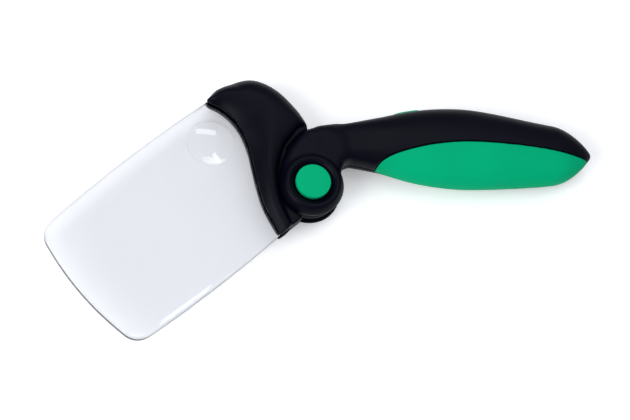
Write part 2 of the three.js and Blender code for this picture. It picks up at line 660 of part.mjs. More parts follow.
add(magnifier, "release_button", releaseButton(), GREEN);
add(magnifier, "clutch_cone", clutchCone(), STEEL);
add(magnifier, "light_button", lightButton(), GREEN);
add(magnifier, "switch_plunger", switchPlunger(), DARK);
add(magnifier, "battery_door", batteryDoor(), BLACK);
add(magnifier, "door_screw", doorScrew(), STEEL);

add(head, "lens", lens(), CLEAR, 0.35);
add(head, "head_front_shell", headFrontShell(), BLACK);
add(head, "head_rear_shell", headRearShell(), BLACK);
HEAD_SCREWS.forEach((at, i) => add(head, `head_screw_${i + 1}`, screw(at), STEEL));
add(head, "pivot_bush", pivotBush(), BRASS);
add(head, "contact_ring_inner", ringSolid(RINGS[0]), BRASS);
add(head, "contact_ring_outer", ringSolid(RINGS[1]), BRASS);
add(head, "led_board", ledBoard(), BOARD);
LED_POINTS.forEach((at, i) => add(head, `led_${i + 1}`, led(at), LED_YELLOW));
add(head, "led_window", ledWindow(), CLEAR, 0.5);
add(head, "led_wire_inner", wire(LED_WIRE_INNER), DARK);
add(head, "led_wire_outer", wire(LED_WIRE_OUTER), RED);

export default magnifier;
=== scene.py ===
"""Looks of the folding hand magnifier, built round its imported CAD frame.

Shapes are worked out in millimetres in the CAD frame and turned into metres when a mesh is made.
Moulded pieces come from distance fields: numbers on a grid, in millimetres, negative inside.
"""
import json
import math

import bpy
import numpy as np
from mathutils import Matrix, Vector


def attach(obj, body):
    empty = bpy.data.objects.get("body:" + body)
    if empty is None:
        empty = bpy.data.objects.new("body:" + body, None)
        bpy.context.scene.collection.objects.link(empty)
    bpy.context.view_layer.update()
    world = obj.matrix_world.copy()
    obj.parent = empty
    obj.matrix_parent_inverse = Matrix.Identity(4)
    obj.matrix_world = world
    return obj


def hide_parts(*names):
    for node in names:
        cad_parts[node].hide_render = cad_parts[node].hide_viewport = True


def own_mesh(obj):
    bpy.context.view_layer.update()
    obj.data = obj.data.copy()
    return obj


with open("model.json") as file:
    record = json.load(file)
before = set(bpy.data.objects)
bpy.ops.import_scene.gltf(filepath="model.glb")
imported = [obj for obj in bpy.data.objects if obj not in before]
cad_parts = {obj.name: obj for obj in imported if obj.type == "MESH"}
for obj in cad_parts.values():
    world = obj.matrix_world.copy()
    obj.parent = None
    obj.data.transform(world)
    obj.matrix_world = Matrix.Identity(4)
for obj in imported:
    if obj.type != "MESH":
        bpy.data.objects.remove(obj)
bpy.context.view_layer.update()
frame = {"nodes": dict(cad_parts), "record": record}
MM = 0.001


def new_object(name, data):
    made = bpy.data.objects.new(name, data)
    bpy.context.scene.collection.objects.link(made)
    return made


# ---- camera ----
VIEW_ROLL = math.radians(29.6)  # how far the picture is turned about the line of view
VIEW_TILT = math.radians(22.6)  # the view leans this far from straight down
VIEW_DISTANCE = 1000.0
VIEW_LENS = 131.43
VIEW_RIGHT, VIEW_UP = 0.5, -12.81  # the view's middle, from the release button's middle in the picture
VIEW_HEIGHT = 21.0  # the release button's top
SENSOR_WIDTH = 36.0


def add_camera():
    along = Vector((math.cos(VIEW_ROLL), -math.sin(VIEW_ROLL), 0))
    across = Vector((math.sin(VIEW_ROLL), math.cos(VIEW_ROLL), 0))
    top = Vector((0, 0, 1))
    back = math.cos(VIEW_TILT) * top - math.sin(VIEW_TILT) * across
    rise = math.cos(VIEW_TILT) * across + math.sin(VIEW_TILT) * top
    right = math.cos(VIEW_ROLL) * along + math.sin(VIEW_ROLL) * rise
    up = math.cos(VIEW_ROLL) * rise - math.sin(VIEW_ROLL) * along
    data = bpy.data.cameras.new("camera")
    data.lens = VIEW_LENS
    data.sensor_width = SENSOR_WIDTH
    data.clip_start, data.clip_end = 0.01, 20.0
    camera = new_object("camera", data)
    place = Vector((0, 0, VIEW_HEIGHT)) + back * VIEW_DISTANCE + right * VIEW_RIGHT + up * VIEW_UP
    turn = Matrix((right, up, back)).transposed().to_4x4()
    camera.matrix_world = Matrix.Translation(place * MM) @ turn
    bpy.context.scene.camera = camera


# ---- floor and light ----
FLOOR_GLOW = 0.25
FLOOR_HALF, FLOOR_Z = 2.5, -0.0003  # in metres
SKY_COLOUR = (0.9, 0.94, 1.0)
SKY_TOP = 0.6
SKY_EDGE = 0.06
SKY_RISE = (0.1, 0.6)  # the slope of view over which the sky brightens
LIGHT_AIM = (0.0, 0.0, 0.01)
LIGHTS = {  # place and size in metres, power in watts
    "key": ((-1.15, -0.6, 1.0), (1.0, 1.0), 17.0),
    "fill": ((0.2, 0.4, 1.5), (1.4, 1.4), 6.0),
    "strip": ((0.04, 0.72, 1.2), (0.4, 0.12), 0.8),
    "glint": ((0.22, 0.14, 1.2), (0.2, 0.08), 0.3),
}


def add_floor():
    mesh = bpy.data.meshes.new("floor")
    signs = ((-1, -1), (1, -1), (1, 1), (-1, 1))
    mesh.from_pydata([(a * FLOOR_HALF, b * FLOOR_HALF, FLOOR_Z) for a, b in signs], [], [(0, 1, 2, 3)])
    floor = new_object("floor", mesh)
    mesh.materials.append(floor_material())


def floor_material():
    material, shader = new_material("studio_floor")
    fill_in(shader, Base_Color=(0.93, 0.93, 0.94, 1), Roughness=0.9, Specular_IOR_Level=0.0)
    fill_in(shader, Emission_Color=(1, 1, 1, 1), Emission_Strength=FLOOR_GLOW)
    fine = noise(object_place(shader), scale=220.0, detail=3.0)
    raise_by(fine, shader, strength=0.05, distance=0.0002)
    return material


def add_light(name, place, size, power):
    data = bpy.data.lights.new(name, "AREA")
    data.shape = "RECTANGLE"
    data.size, data.size_y = size
    data.energy = power
    light = new_object(name, data)
    way = Vector(LIGHT_AIM) - Vector(place)
    light.matrix_world = Matrix.Translation(place) @ way.to_track_quat("-Z", "Y").to_matrix().to_4x4()


def add_sky():
    """A soft sky, bright overhead and dim towards the horizon."""
    world = bpy.data.worlds.new("studio")
    bpy.context.scene.world = world
    world.use_nodes = True
    glow = world.node_tree.nodes["Background"]
    way, parts = node(glow, "ShaderNodeTexCoord"), node(glow, "ShaderNodeSeparateXYZ")
    link(way, "Generated", parts, "Vector")
    bright = stretched(parts, SKY_EDGE, SKY_TOP, span=SKY_RISE, output="Z")
    link(bright, "Result", glow, "Strength")
    fill_in(glow, Color=(*SKY_COLOUR, 1))


def add_lights():
    add_sky()
    for name, (place, size, power) in LIGHTS.items():
        add_light(name, place, size, power)
    bpy.context.scene.view_settings.view_transform = "Standard"


# ---- materials ----
NOISE_SPAN = (0.3, 0.7)  # where most of a noise texture's values lie
SHADOW_SHARE = 0.5  # how much light passes a clear part into its own shadow
BATTERY_X, BATTERY_LENGTH = 59.0, 44.5  # where the cells start, and how long they are


def new_material(name):
    material = bpy.data.materials.new(name)
    material.use_nodes = True
    return material, material.node_tree.nodes["Principled BSDF"]


def link(source, output, target, socket):
    source.id_data.links.new(source.outputs[output], target.inputs[socket])


def fill_in(made, **values):
    for socket, value in values.items():
        made.inputs[socket.replace("_", " ")].default_value = value


def node(beside, kind, **values):
    """A new node in the tree of the one it is put beside."""
    made = beside.id_data.nodes.new(kind)
    fill_in(made, **values)
    return made


def object_place(shader):
    return node(shader, "ShaderNodeTexCoord")


def noise(place, scale, detail, output="Object"):
    made = node(place, "ShaderNodeTexNoise", Scale=scale, Detail=detail)
    link(place, output, made, "Vector")
    return made


def stretched(source, low, high, span=NOISE_SPAN, output="Fac"):
    """A number that runs over a span, made to run from low to high."""
    made = node(source, "ShaderNodeMapRange", From_Min=span[0], From_Max=span[1], To_Min=low, To_Max=high)
    link(source, output, made, "Value")
    return made


def shade_by(amount, colour, shader):
    """One colour, made lighter and darker by a number."""
    tint = node(shader, "ShaderNodeVectorMath")
    tint.operation = "SCALE"
    tint.inputs[0].default_value = colour
    link(amount, "Result", tint, "Scale")
    link(tint, "Vector", shader, "Base Color")


def raise_by(source, shader, strength, distance):
    """Bumps that stand as high as a number says."""
    bump = node(shader, "ShaderNodeBump", Strength=strength, Distance=distance)
    link(source, "Fac", bump, "Height")
    link(bump, "Normal", shader, "Normal")


def moulded(name, colour, rough, grain, specular, mottle=0.10):
    """Moulded plastic or rubber: a fine even grain, faint mottling and slightly uneven gloss."""
    material, shader = new_material(name)
    place = object_place(shader)
    fine = noise(place, scale=2600.0, detail=2.0)
    wide = noise(place, scale=45.0, detail=3.0)
    shade_by(stretched(wide, 1 - mottle, 1 + mottle), colour, shader)
    link(stretched(wide, rough - 0.03, rough + 0.04), "Result", shader, "Roughness")
    raise_by(fine, shader, strength=grain, distance=0.00005)
    fill_in(shader, Specular_IOR_Level=specular)
    return material


def clear(name, tint):
    """Clear moulded acrylic, faintly uneven, that lets the lamps shine through it."""
    material, shader = new_material(name)
    place = object_place(shader)
    flow = noise(place, scale=18.0, detail=1.0)
    smear = noise(place, scale=120.0, detail=4.0)
    link(stretched(smear, 0.01, 0.05, span=(0.45, 0.75)), "Result", shader, "Roughness")
    raise_by(flow, shader, strength=0.06, distance=0.0005)
    fill_in(shader, Base_Color=(*tint, 1), IOR=1.49, Transmission_Weight=1.0)
    path = node(shader, "ShaderNodeLightPath")
    shadow = [SHADOW_SHARE * part for part in tint]
    through = node(shader, "ShaderNodeBsdfTransparent", Color=(*shadow, 1))
    mix = node(shader, "ShaderNodeMixShader")
    link(path, "Is Shadow Ray", mix, "Fac")
    link(shader, "BSDF", mix, 1)
    link(through, "BSDF", mix, 2)
    link(mix, "Shader", material.node_tree.nodes["Material Output"], "Surface")
    return material


def metal(name, colour, rough, stretch):
    """Plated or drawn metal with fine marks running one way."""
    material, shader = new_material(name)
    place = object_place(shader)
    shape = node(shader, "ShaderNodeMapping", Scale=stretch)
    link(place, "Object", shape, "Vector")
    marks = noise(shape, scale=900.0, detail=4.0, output="Vector")
    stain = noise(place, scale=150.0, detail=3.0)
    link(stretched(marks, rough - 0.08, rough + 0.1), "Result", shader, "Roughness")
    shade_by(stretched(stain, 0.8, 1.05), colour, shader)
    raise_by(marks, shader, strength=0.12, distance=0.00003)
    fill_in(shader, Metallic=1.0)
    return material


def board(name):
    """Green solder mask with raised copper tracks under it."""
    material, shader = new_material(name)
    mask, lighter_mask, copper = (0.006, 0.11, 0.03, 1), (0.008, 0.14, 0.04, 1), (0.55, 0.38, 0.12, 1)
    tracks = node(shader, "ShaderNodeTexBrick", Scale=260.0, Mortar_Size=0.03)
    fill_in(tracks, Color1=mask, Color2=lighter_mask, Mortar=copper)
    link(object_place(shader), "Object", tracks, "Vector")
    link(tracks, "Color", shader, "Base Color")
    raise_by(tracks, shader, strength=0.4, distance=0.00004)
    fill_in(shader, Roughness=0.35)
    return material


def battery(name):
    """A plain printed wrap: dark grey with a copper-coloured band, bare steel at both ends."""
    material = moulded(name, (0.05, 0.05, 0.055), 0.32, 0.1, 0.4)
    shader = material.node_tree.nodes["Principled BSDF"]
    wrap, band, bare = (0.035, 0.035, 0.04, 1), (0.62, 0.25, 0.09, 1), (0.6, 0.6, 0.62, 1)
    parts = node(shader, "ShaderNodeSeparateXYZ")
    bands = node(shader, "ShaderNodeValToRGB")
    link(object_place(shader), "Object", parts, "Vector")
    ends = (BATTERY_X * MM, (BATTERY_X + BATTERY_LENGTH) * MM)
    link(stretched(parts, 0, 1, span=ends, output="X"), "Result", bands, "Fac")
    ramp = bands.color_ramp
    ramp.interpolation = "CONSTANT"
    ramp.elements[0].color = bare
    ramp.elements[1].position, ramp.elements[1].color = 0.012, wrap
    for at, colour in ((0.74, band), (0.97, bare)):
        ramp.elements.new(at).color = colour
    link(bands, "Color", shader, "Base Color")
    fill_in(shader, Metallic=0.6)
    return material


LOOKS = {  # colour first, then what each kind of material asks for
    "black_soft_touch": (moulded, (0.0008, 0.001, 0.0052), 0.42, 0.35, 0.08),
    "green_rubber": (moulded, (0.0003, 0.378, 0.168), 0.6, 0.3, 0.03, 0.04),
    "green_plastic": (moulded, (0.0003, 0.385, 0.166), 0.5, 0.12, 0.03, 0.03),
    "clear_acrylic": (clear, (0.80, 0.807, 0.829)),
    "steel": (metal, (0.62, 0.63, 0.65), 0.3, (1, 1, 0.1)),
    "brass": (metal, (0.72, 0.52, 0.22), 0.32, (1, 1, 0.1)),
    "nylon": (moulded, (0.09, 0.09, 0.095), 0.5, 0.15, 0.35, 0.04),
    "dark_plastic": (moulded, (0.012, 0.012, 0.013), 0.42, 0.3, 0.35),
    "red_wire": (moulded, (0.42, 0.008, 0.006), 0.4, 0.2, 0.4, 0.06),
    "black_wire": (moulded, (0.008, 0.008, 0.008), 0.4, 0.2, 0.4, 0.06),
    "lamp_epoxy": (clear, (0.97, 0.93, 0.72)),
    "circuit_board": (board,),
    "battery_can": (battery,),
}
MATERIALS = {name: make(name, *look) for name, (make, *look) in LOOKS.items()}


# ---- numbers along curves ----
def smooth(pairs):
    """A smooth curve through (x, value) pairs."""
    xs, ys = np.array(pairs, float).T
    last = len(xs) - 1
    before = np.maximum(np.arange(len(xs)) - 1, 0)
    after = np.minimum(np.arange(len(xs)) + 1, last)
    slopes = (ys[after] - ys[before]) / (xs[after] - xs[before])

    def curve(x):
        x = np.clip(x, xs[0], xs[-1])
        i = np.clip(np.searchsorted(xs, x, side="right") - 1, 0, last - 1)
        step = xs[i + 1] - xs[i]
        t = (x - xs[i]) / step
        rise = t * t * (3 - 2 * t)
        bend = t * (1 - t) * step * ((1 - t) * slopes[i] - t * slopes[i + 1])
        return ys[i] * (1 - rise) + ys[i + 1] * rise + bend

    return curve


def spline(points, pieces=8):
    """Points along a smooth curve through the given ones, in the plane or in space."""
    p = np.array(points, float)
    wide = np.vstack([p[:1], p, p[-1:]])
    t = np.linspace(0, len(p) - 1, pieces * (len(p) - 1) + 1)
    i = np.minimum(t.astype(int), len(p) - 2)
    f = (t - i)[:, None]
    p0, p1, p2, p3 = (wide[i + k] for k in range(4))
    v0, v1 = (p2 - p0) / 2, (p3 - p1) / 2
    return (2 * p1 - 2 * p2 + v0 + v1) * f**3 + (3 * p2 - 3 * p1 - 2 * v0 - v1) * f**2 + v0 * f + p1


def bezier(*handles, count=12):
    """Points along a quadratic or cubic curve."""
    points = np.array(handles, float)
    t = np.linspace(0, 1, count)[:, None]
    order = len(points) - 1
    return sum(math.comb(order, k) * t**k * (1 - t) ** (order - k) * points[k] for k in range(order + 1))


def arc(radius, start, end, count):
    turn = np.radians(np.linspace(start, end, count))
    return np.c_[radius * np.cos(turn), radius * np.sin(turn)]


# ---- distance fields ----
def rounded_max(a, b, r):
    """The part that two fields share, with its edge rounded over r."""
    return np.maximum(a, b) + np.maximum(r - np.abs(a - b), 0) ** 2 / (4 * r)


def rounded_min(a, b, r):
    """Two fields joined, with a fillet of r between them."""
    return -rounded_max(-a, -b, r)


def cut(field, tool, r=0.3):
    return rounded_max(field, -tool, r)


def outline_distance(x, y, outline):
    """Distance to a closed outline in the plane, negative inside it."""
    shape = np.broadcast(x, y).shape
    best, inside = np.full(shape, 1e9), np.zeros(shape, bool)
    for (ax, ay), (bx, by) in zip(outline, np.roll(outline, -1, 0)):
        ex, ey = bx - ax, by - ay
        length = ex * ex + ey * ey
        if length < 1e-12:
            continue
        px, py = x - ax, y - ay
        t = np.clip((px * ex + py * ey) / length, 0, 1)
        best = np.minimum(best, (px - ex * t) ** 2 + (py - ey * t) ** 2)
        if abs(ey) > 1e-9:
            inside ^= ((ay > y) != (by > y)) & (px < ex * py / ey)
    return np.where(inside, -1, 1) * np.sqrt(best)


def past_range(value, low, high):
    """Distance past a range of numbers, negative inside it."""
    return np.abs(value - (low + high) / 2) - (high - low) / 2


def block(g, x, y, z, angle=0):
    """A box between two places along each axis, turned round the hinge by an angle in degrees."""
    c, s = math.cos(math.radians(angle)), math.sin(math.radians(angle))
    flat = np.maximum(past_range(g.x * c + g.y * s, *x), past_range(g.y * c - g.x * s, *y))
    return np.maximum(flat, past_range(g.z, *z))


def pillar(g, centre, r, z0, z1):
    """An upright cylinder."""
    return np.maximum(np.hypot(g.x - centre[0], g.y - centre[1]) - r, past_range(g.z, z0, z1))


def in_millimetres(value, step):
    """Turns a number that is zero on a surface into its distance, by how steeply it rises."""
    steep = np.sqrt(sum(slope**2 for slope in np.gradient(value, *step)))
    return value / np.maximum(steep, 1e-3)


class Block:
    """Grid points, ready to broadcast; out is from the hinge's axis, off is from the parting plane."""

    def __init__(self, low, high, step):
        self.step = step
        self.axes = [np.arange(a - 2 * s, b + 3 * s, s) for a, b, s in zip(low, high, step)]
        self.x, self.y, self.z = np.meshgrid(*self.axes, indexing="ij", sparse=True)
        self.out = np.hypot(self.x, self.y)
        self.off = np.abs(self.z - MID_Z)

    def full(self, value):
        return np.ascontiguousarray(np.broadcast_to(value, [len(a) for a in self.axes]))


# ---- surfaces from fields ----
def surface_net(field):
    """Points on the zero surface of a gridded field, in grid steps, and the quads that join them."""
    cells = np.array(field.shape)
    stride = np.array([cells[1] * cells[2], cells[2], 1])
    inside = field < 0
    total, hits, quads = np.zeros((field.size, 3)), np.zeros(field.size), []
    for axis in range(3):
        unit = np.eye(3, dtype=int)[axis]
        lower = tuple(slice(0, -1) if k == axis else slice(1, -1) for k in range(3))
        upper = tuple(slice(1, None) if k == axis else slice(1, -1) for k in range(3))
        at = np.argwhere(inside[lower] != inside[upper]) + (1 - unit)
        near, far = field[tuple(at.T)], field[tuple((at + unit).T)]
        point = at + (near / (near - far))[:, None] * unit
        home = at @ stride
        j, k = stride[(axis + 1) % 3], stride[(axis + 2) % 3]
        ring = np.stack([home, home - j, home - j - k, home - k], 1)
        for corner in ring.T:
            hits += np.bincount(corner, minlength=field.size)
            for n in range(3):
                total[:, n] += np.bincount(corner, point[:, n], field.size)
        ring[near > 0] = ring[near > 0][:, ::-1]
        quads.append(ring)
    used = np.flatnonzero(hits)
    number = np.zeros(field.size, int)
    number[used] = np.arange(len(used))
    return total[used] / hits[used][:, None], number[np.vstack(quads)]


def read_grid(values, at):
    """Values of several gridded fields at points given in grid steps."""
    low = np.clip(np.floor(at).astype(int), 0, np.array(values[0].shape) - 2)
    f = at - low
    found = np.zeros((len(values), len(at)))
    for corner in np.ndindex(2, 2, 2):
        weight = np.prod(np.where(corner, f, 1 - f), axis=1)
        place = tuple((low + corner).T)
        for n, value in enumerate(values):
            found[n] += weight * value[place]
    return found


def skin(field, grid, passes=3):
    """The zero surface as points in millimetres and quads, evened out without leaving the surface."""
    points, quads = surface_net(field)
    step = np.array(grid.step)
    slopes = np.gradient(field, *grid.step)
    edges = np.vstack([quads[:, [k, (k + 1) % 4]] for k in range(4)])
    degree = np.maximum(np.bincount(edges.ravel(), minlength=len(points)), 1)[:, None]
    for turn in range(passes + 1):
        if turn:
            mean = np.zeros_like(points)
            for n in range(3):
                mean[:, n] += np.bincount(edges[:, 0], points[edges[:, 1], n], len(points))
                mean[:, n] += np.bincount(edges[:, 1], points[edges[:, 0], n], len(points))
            move = (mean / degree - points) * step
            gradient = read_grid(slopes, points).T
            gradient /= np.maximum(np.linalg.norm(gradient, axis=1), 1e-6)[:, None]
            points = points + 0.5 * (move - np.sum(move * gradient, 1)[:, None] * gradient) / step
        found = read_grid([field, *slopes], points)
        gradient = found[1:].T
        square = np.maximum(np.sum(gradient**2, 1), 0.05)
        points = points - np.clip(found[0] / square, -0.3, 0.3)[:, None] * gradient / step
    return points * step + [a[0] for a in grid.axes], quads


def in_metres(points, turn):
    c, s = math.cos(turn), math.sin(turn)
    return np.array(points, float) @ np.array([[c, s, 0], [-s, c, 0], [0, 0, 1]]) * MM


def plain_object(name, points, faces):
    mesh = bpy.data.meshes.new(name)
    mesh.from_pydata(points.tolist(), [], [list(map(int, f)) for f in faces])
    mesh.validate()
    return new_object(name, mesh)


def drill(piece, centre, r, low, high, turn):
    """Takes an upright hole out of a mesh."""
    points, faces = wrapped(turned_rings([(0, low), (r, low), (r, high), (0, high)], 40))
    drill_bit = plain_object("drill_bit", in_metres(points + [*centre, 0], turn), faces)
    cutter = piece.modifiers.new("hole", "BOOLEAN")
    cutter.operation, cutter.solver, cutter.object = "DIFFERENCE", "EXACT", drill_bit
    whole = bpy.context.evaluated_depsgraph_get()
    whole.update()
    piece.data = bpy.data.meshes.new_from_object(piece.evaluated_get(whole))
    piece.modifiers.clear()
    bpy.data.objects.remove(drill_bit)


def add_piece(name, points, faces, body, stands_for, slot, turn=0.0, holes=()):
    """A finished mesh, its points given in millimetres, that rides on a CAD body."""
    piece = plain_object(name, in_metres(points, turn), faces)
    for centre, r, low, high in holes:
        drill(piece, centre, r, low, high, turn)
    piece.data.shade_smooth()
    if holes:
        piece.data.set_sharp_from_angle(angle=math.radians(40))
    piece.data.materials.clear()
    piece.data.materials.append(MATERIALS[slot])
    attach(piece, body)
    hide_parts(*stands_for)
    return piece


def mould(name, shape, low, high, step, body, stands_for, slot, turn=0.0):
    """A piece whose shape is a field: shape(grid) gives the numbers on that grid."""
    grid = Block(low, high, step)
    points, quads = skin(grid.full(shape(grid)), grid)
    add_piece(name, points, quads, body, stands_for, slot, turn)


# ---- surfaces from rings ----
def wrapped(rings, loop=False):
    """Joins rings of points into a skin: a ring of one point closes an end, a loop closes on itself."""
    count = max(len(ring) for ring in rings)
    points, rows = [], []
    for ring in rings:
        start = sum(len(p) for p in points)
        points.append(np.atleast_2d(ring))
        rows.append(start + (np.arange(count) if len(ring) == count else np.zeros(count, int)))
    if loop:
        rows.append(rows[0])
    faces = []
    for low, high in zip(rows, rows[1:]):
        for a, b, c, d in zip(low, np.roll(low, -1), np.roll(high, -1), high):
            faces.append(list(dict.fromkeys((a, b, c, d))))
    return np.vstack(points), faces


def turned_rings(profile, count):
    angle = np.linspace(0, 2 * math.pi, count, endpoint=False)
    circle = np.c_[np.cos(angle), np.sin(angle)]
    return [np.array([[0, 0, h]]) if r < 1e-6 else np.c_[r * circle, np.full(count, h)] for r, h in profile]


def softened(profile, r, count=5):
    """The same outline with its corners rounded, and a close point on each side of every corner."""
    corners = np.array(profile, float)
    points = [corners[:1]]
    for a, b, c in zip(corners, corners[1:], corners[2:]):
        back, on = a - b, c - b
        near = min(r, 0.4 * np.linalg.norm(back), 0.4 * np.linalg.norm(on))
        back, on = back / np.linalg.norm(back) * near, on / np.linalg.norm(on) * near
        points += [[b + 1.15 * back], bezier(b + back, b, b + on, count=count), [b + 1.15 * on]]
    return np.vstack([*points, corners[-1:]])


def turn_piece(name, profile, body, stands_for, slot, centre=(0, 0, 0), along_x=False, turn=0.0, count=80):
    """A piece turned from (radius, height) points about an upright axis, or about one that runs along x."""
    closed = np.allclose(profile[0], profile[-1])
    points, faces = wrapped(turned_rings(profile[:-1] if closed else profile, count), closed)
    if along_x:
        points = points[:, [2, 0, 1]]
    add_piece(name, points + centre, faces, body, stands_for, slot, turn)


def draw_wire(name, path, r, body, stands_for, slot, turn=0.0, count=10):
    """A round wire along a path, with domed ends."""
    path = np.array(path, float)
    along = np.gradient(path, axis=0)
    along /= np.linalg.norm(along, axis=1)[:, None]
    side = np.cross(along[0], (0.31, 0.53, 0.79))
    angle = np.linspace(0, 2 * math.pi, count, endpoint=False)[:, None]
    rings = [path[:1] - along[:1] * r * 0.5]
    for place, way in zip(path, along):
        side = side - np.dot(side, way) * way
        side /= np.linalg.norm(side)
        rings.append(place + r * (np.cos(angle) * side + np.sin(angle) * np.cross(way, side)))
    rings.append(path[-1:] + along[-1:] * r * 0.5)
    points, faces = wrapped(rings)
    return add_piece(name, points, faces, body, stands_for, slot, turn)


# ---- driving sizes ----
# In millimetres: x runs along the handle from the hinge's axis, z up from the floor.
# Some sizes sit a little off the CAD's, to follow the photo's outline more closely.
MID_Z = 11.0
SEAM = 0.15
GAP = 0.3
EDGE_ROUND = 0.35
POST_FILLET = 0.5
HANDLE_TIP = 130.0
NECK_START = 4.0
NOSE_START = 112.0
HANDLE_WALL = 2.8
CAVITY_START = 24
HANDLE_CENTRE = smooth(
    [(6, 19.8), (11, 20.7), (16, 20.9), (31, 21.4), (46, 21.3), (76, 20.95), (106, 19.7), (130, 19.8)])
HANDLE_HALF_WIDTH = smooth(
    [(6, 8.3), (11, 8.9), (16, 9.1), (31, 12.3), (46, 16.3), (61, 18.4), (76, 18.4), (106, 14.7), (130, 11)])
HANDLE_HALF_DEPTH = smooth(
    [(6, 8), (16, 8.2), (30, 8.9), (50, 10.2), (70, 10.8), (90, 10.5), (108, 9.3), (130, 6.5)])
HANDLE_OVAL = smooth([(6, 3.2), (18, 3.0), (40, 2.3), (130, 2.3)])
GRIP_FRONT_EDGE = spline([(29.4, 9), (32.5, 12.1), (39.4, 15.3), (53.8, 19.1), (70, 21), (88, 20.8),
                          (106, 19.6), (121, 17.6), (131, 16.4)])
GRIP_REAR_EDGE = spline([(29.8, 9.6), (36, 9.2), (44, 8.5), (54, 8), (70, 7.8), (92, 8), (109, 8.9),
                         (117.5, 11.6), (123.5, 14.6), (128.1, 16.7), (131, 18)])
GRIP_SPLIT_Z = 9.0
GRIP_THICK = 1.5
HUB_R = 14.4
HUB_REAR_Z = 1.0
HUB_RISE = 10.2
HUB_OVAL = 2.6
NECK_ROUND, LUG_ROUND = 5.0, 4.5
LUG_FILLET, HUB_FILLET = 4.0, 1.6
RING_R = 10.9
RING_Z = 18.9
RING_ROUND = 1.5
LUG_HALF_DEPTH = 8.2
SLOT_HALF = 4.6
SLOT_R = 13.8
SLOT_REACH = 19.0
SLOT_SIDE = (121, 380)  # degrees round the hinge
WELL_R = 8.15
WELL_FLOOR_Z = 16.9
DISH_Z = 18.3
DISH_SLOPE, DISH_STEEPNESS = 1.05, 0.69
STEM_HOLE_R, STEM_HOLE_Z = 4.6, 14
REAR_BORES = ((8, -5, 1.7), (5.3, 0, 2.8), (2.85, 2, 8), (6.9, 3.7, 12))  # radius, from, to
FINGER_ROOM = ((8.9, 21), (-2.9, 2.9), (3.7, 7), 60)  # from and to along x, y and z, and an angle
WIRE_ROOM = ((8, 28), (15.5, 19.5), (4.8, 8.4))
CELL_Y = (14.7, 25.7)
CELL_RIBS = (((53.4, 54.8), (8, 33)), ((105.2, 106.4), (8, 31)))
PRESS_ANGLE = math.radians(12)
LIGHT_BUTTON = (45.0, 37.15, MID_Z)
BUTTON_LENGTH, BUTTON_WIDTH = 14.0, 7.0
BUTTON_DEPTH = 3.7
FLANGE_DEPTH, FLANGE_HALF = 4.0, 0.4
DOOR_X, DOOR_Y, DOOR_R, DOOR_THICK = (48.0, 108.0), (9.6, 30.8), 5.0, 2.0
DOOR_TOP_Z = 8
DOOR_SCREW = (51.6, 20.2)
DOOR_GROOVES = (98, 100.2, 102.4)
GROOVE_R, GROOVE_HALF = 0.45, 5.5
SCREW_R = 1.0
SCREW_HEAD_R = 2.0
SCREW_TIP_Z = 15.6
SCREW_ROOM = 0.25
FAR = 40  # past every piece, up or down
BOSS_R = 2.7
HANDLE_SCREWS = [(30, 21.5, 3.2), (45, 12.5, 3.6), (117.5, 19.6, 4.6)]
HEAD_SCREWS = [(-5.5, -51, 4.2), (-14, -34, 4.2), (0.5, -26.5, 4.2)]

# The head and all it carries, in the head's own frame: x along the lens, y across it.
HEAD_ANGLE = math.radians(220.1)  # from the handle's frame to the head's, at rest
TONGUE_R = 13.2
TONGUE_HALF = 3.8
TONGUE_SIDE = (-98, 25)  # degrees round the hinge
TONGUE_REACH = 19.0
HUB_CLEAR_R = 15.2
HEAD_WALL = 2.2
HEAD_END = 8.7
LENS_SIDE_EDGE = spline([(11.4, -58.4), (8.5, -53), (6.8, -46), (7.2, -38.5), (10.1, -30), (13.9, -23),
                         (18.6, -14.5), (22.9, -5), (26.2, 8.6)])
OUTER_FREE = spline([(10.6, -58.6), (2.8, -59.7), (-5.4, -58.2), (-12.1, -55), (-16.5, -49.4),
                     (-19.1, -41.5), (-19.7, -31.4), (-19.2, -25.6), (-18, -19.4)])
GROOVE_WALL = spline([(-18, -19.4), (-16.4, -22), (-13.4, -23.8), (-7.8, -22.7), (-2.2, -21.1),
                      (5.8, -15.9), (11.7, -9.2), (15.6, -1.9), (18.6, 8.5)])
OUTER_EDGE = np.vstack([OUTER_FREE, GROOVE_WALL[1:]])
HEAD_HALF_DEPTH = smooth([(0, 6.8), (0.15, 8.3), (0.4, 9.6), (0.6, 9.4), (0.8, 8.4), (1, 6)])
LENS_SIDE_DEPTH = 0.5
CREST_AT = 0.62  # the share of the way across at which the head is fullest
FREE_SHOULDER, GROOVE_SHOULDER = 9.0, 2.4
TIP_EASE, TIP_EASE_X, TIP_EASE_RUN = 4.5, -4, 8
UNDERCUT, UNDERCUT_TOP = 0.42, 4.2
FLOOR_INSET = 1.6
FLOOR_END_R = 14.9
POCKET_WALL, POCKET_WALL_HALF = 0.8, 3.4
POCKET_ROOM = 0.7
POCKET_MOUTH = (5.5, -50)  # the lens pocket is open past this corner, at the head's tip
LAMP_ROOM_AT, LAMP_ROOM_HALF, HEAD_LENGTH = 0.39, 23.2, 80
PIVOT_BORE_R = 8.5
LED_WIRE_ROOM = ((9, 24), (-1.4, 1.4), (8.2, 20), -70)
LENS_LOW_Y, LENS_HIGH_Y, LENS_END_X = -58.3, 7.3, 107.4
LENS_CORNER_R, SIDE_BOW, END_BOW = 8.5, 1.6, 2.3
LENS_HALF = 1.8
LENS_TAIL = 6.0
LENS_PINS = [(3, -46), (17.2, -10)]
PIN_R, PIN_HOLE_R = 1.3, 1.6
LENS_EDGE_R = 1.3
LENS_CROWN, LENS_CROWN_R = 0.6, 72
LENS_MIDDLE = (52.0, -25.5)
SPOT = (20.8, -42.7)
SPOT_R = 10.4
SPOT_STEP, SPOT_CROWN = 0.3, 0.95
WINDOW = (-1.5, -39.5)
WINDOW_LENGTH, WINDOW_WIDTH = 18.0, 6.0
WINDOW_TOP_Z = 8
LAMP_Y = (-44, -35)
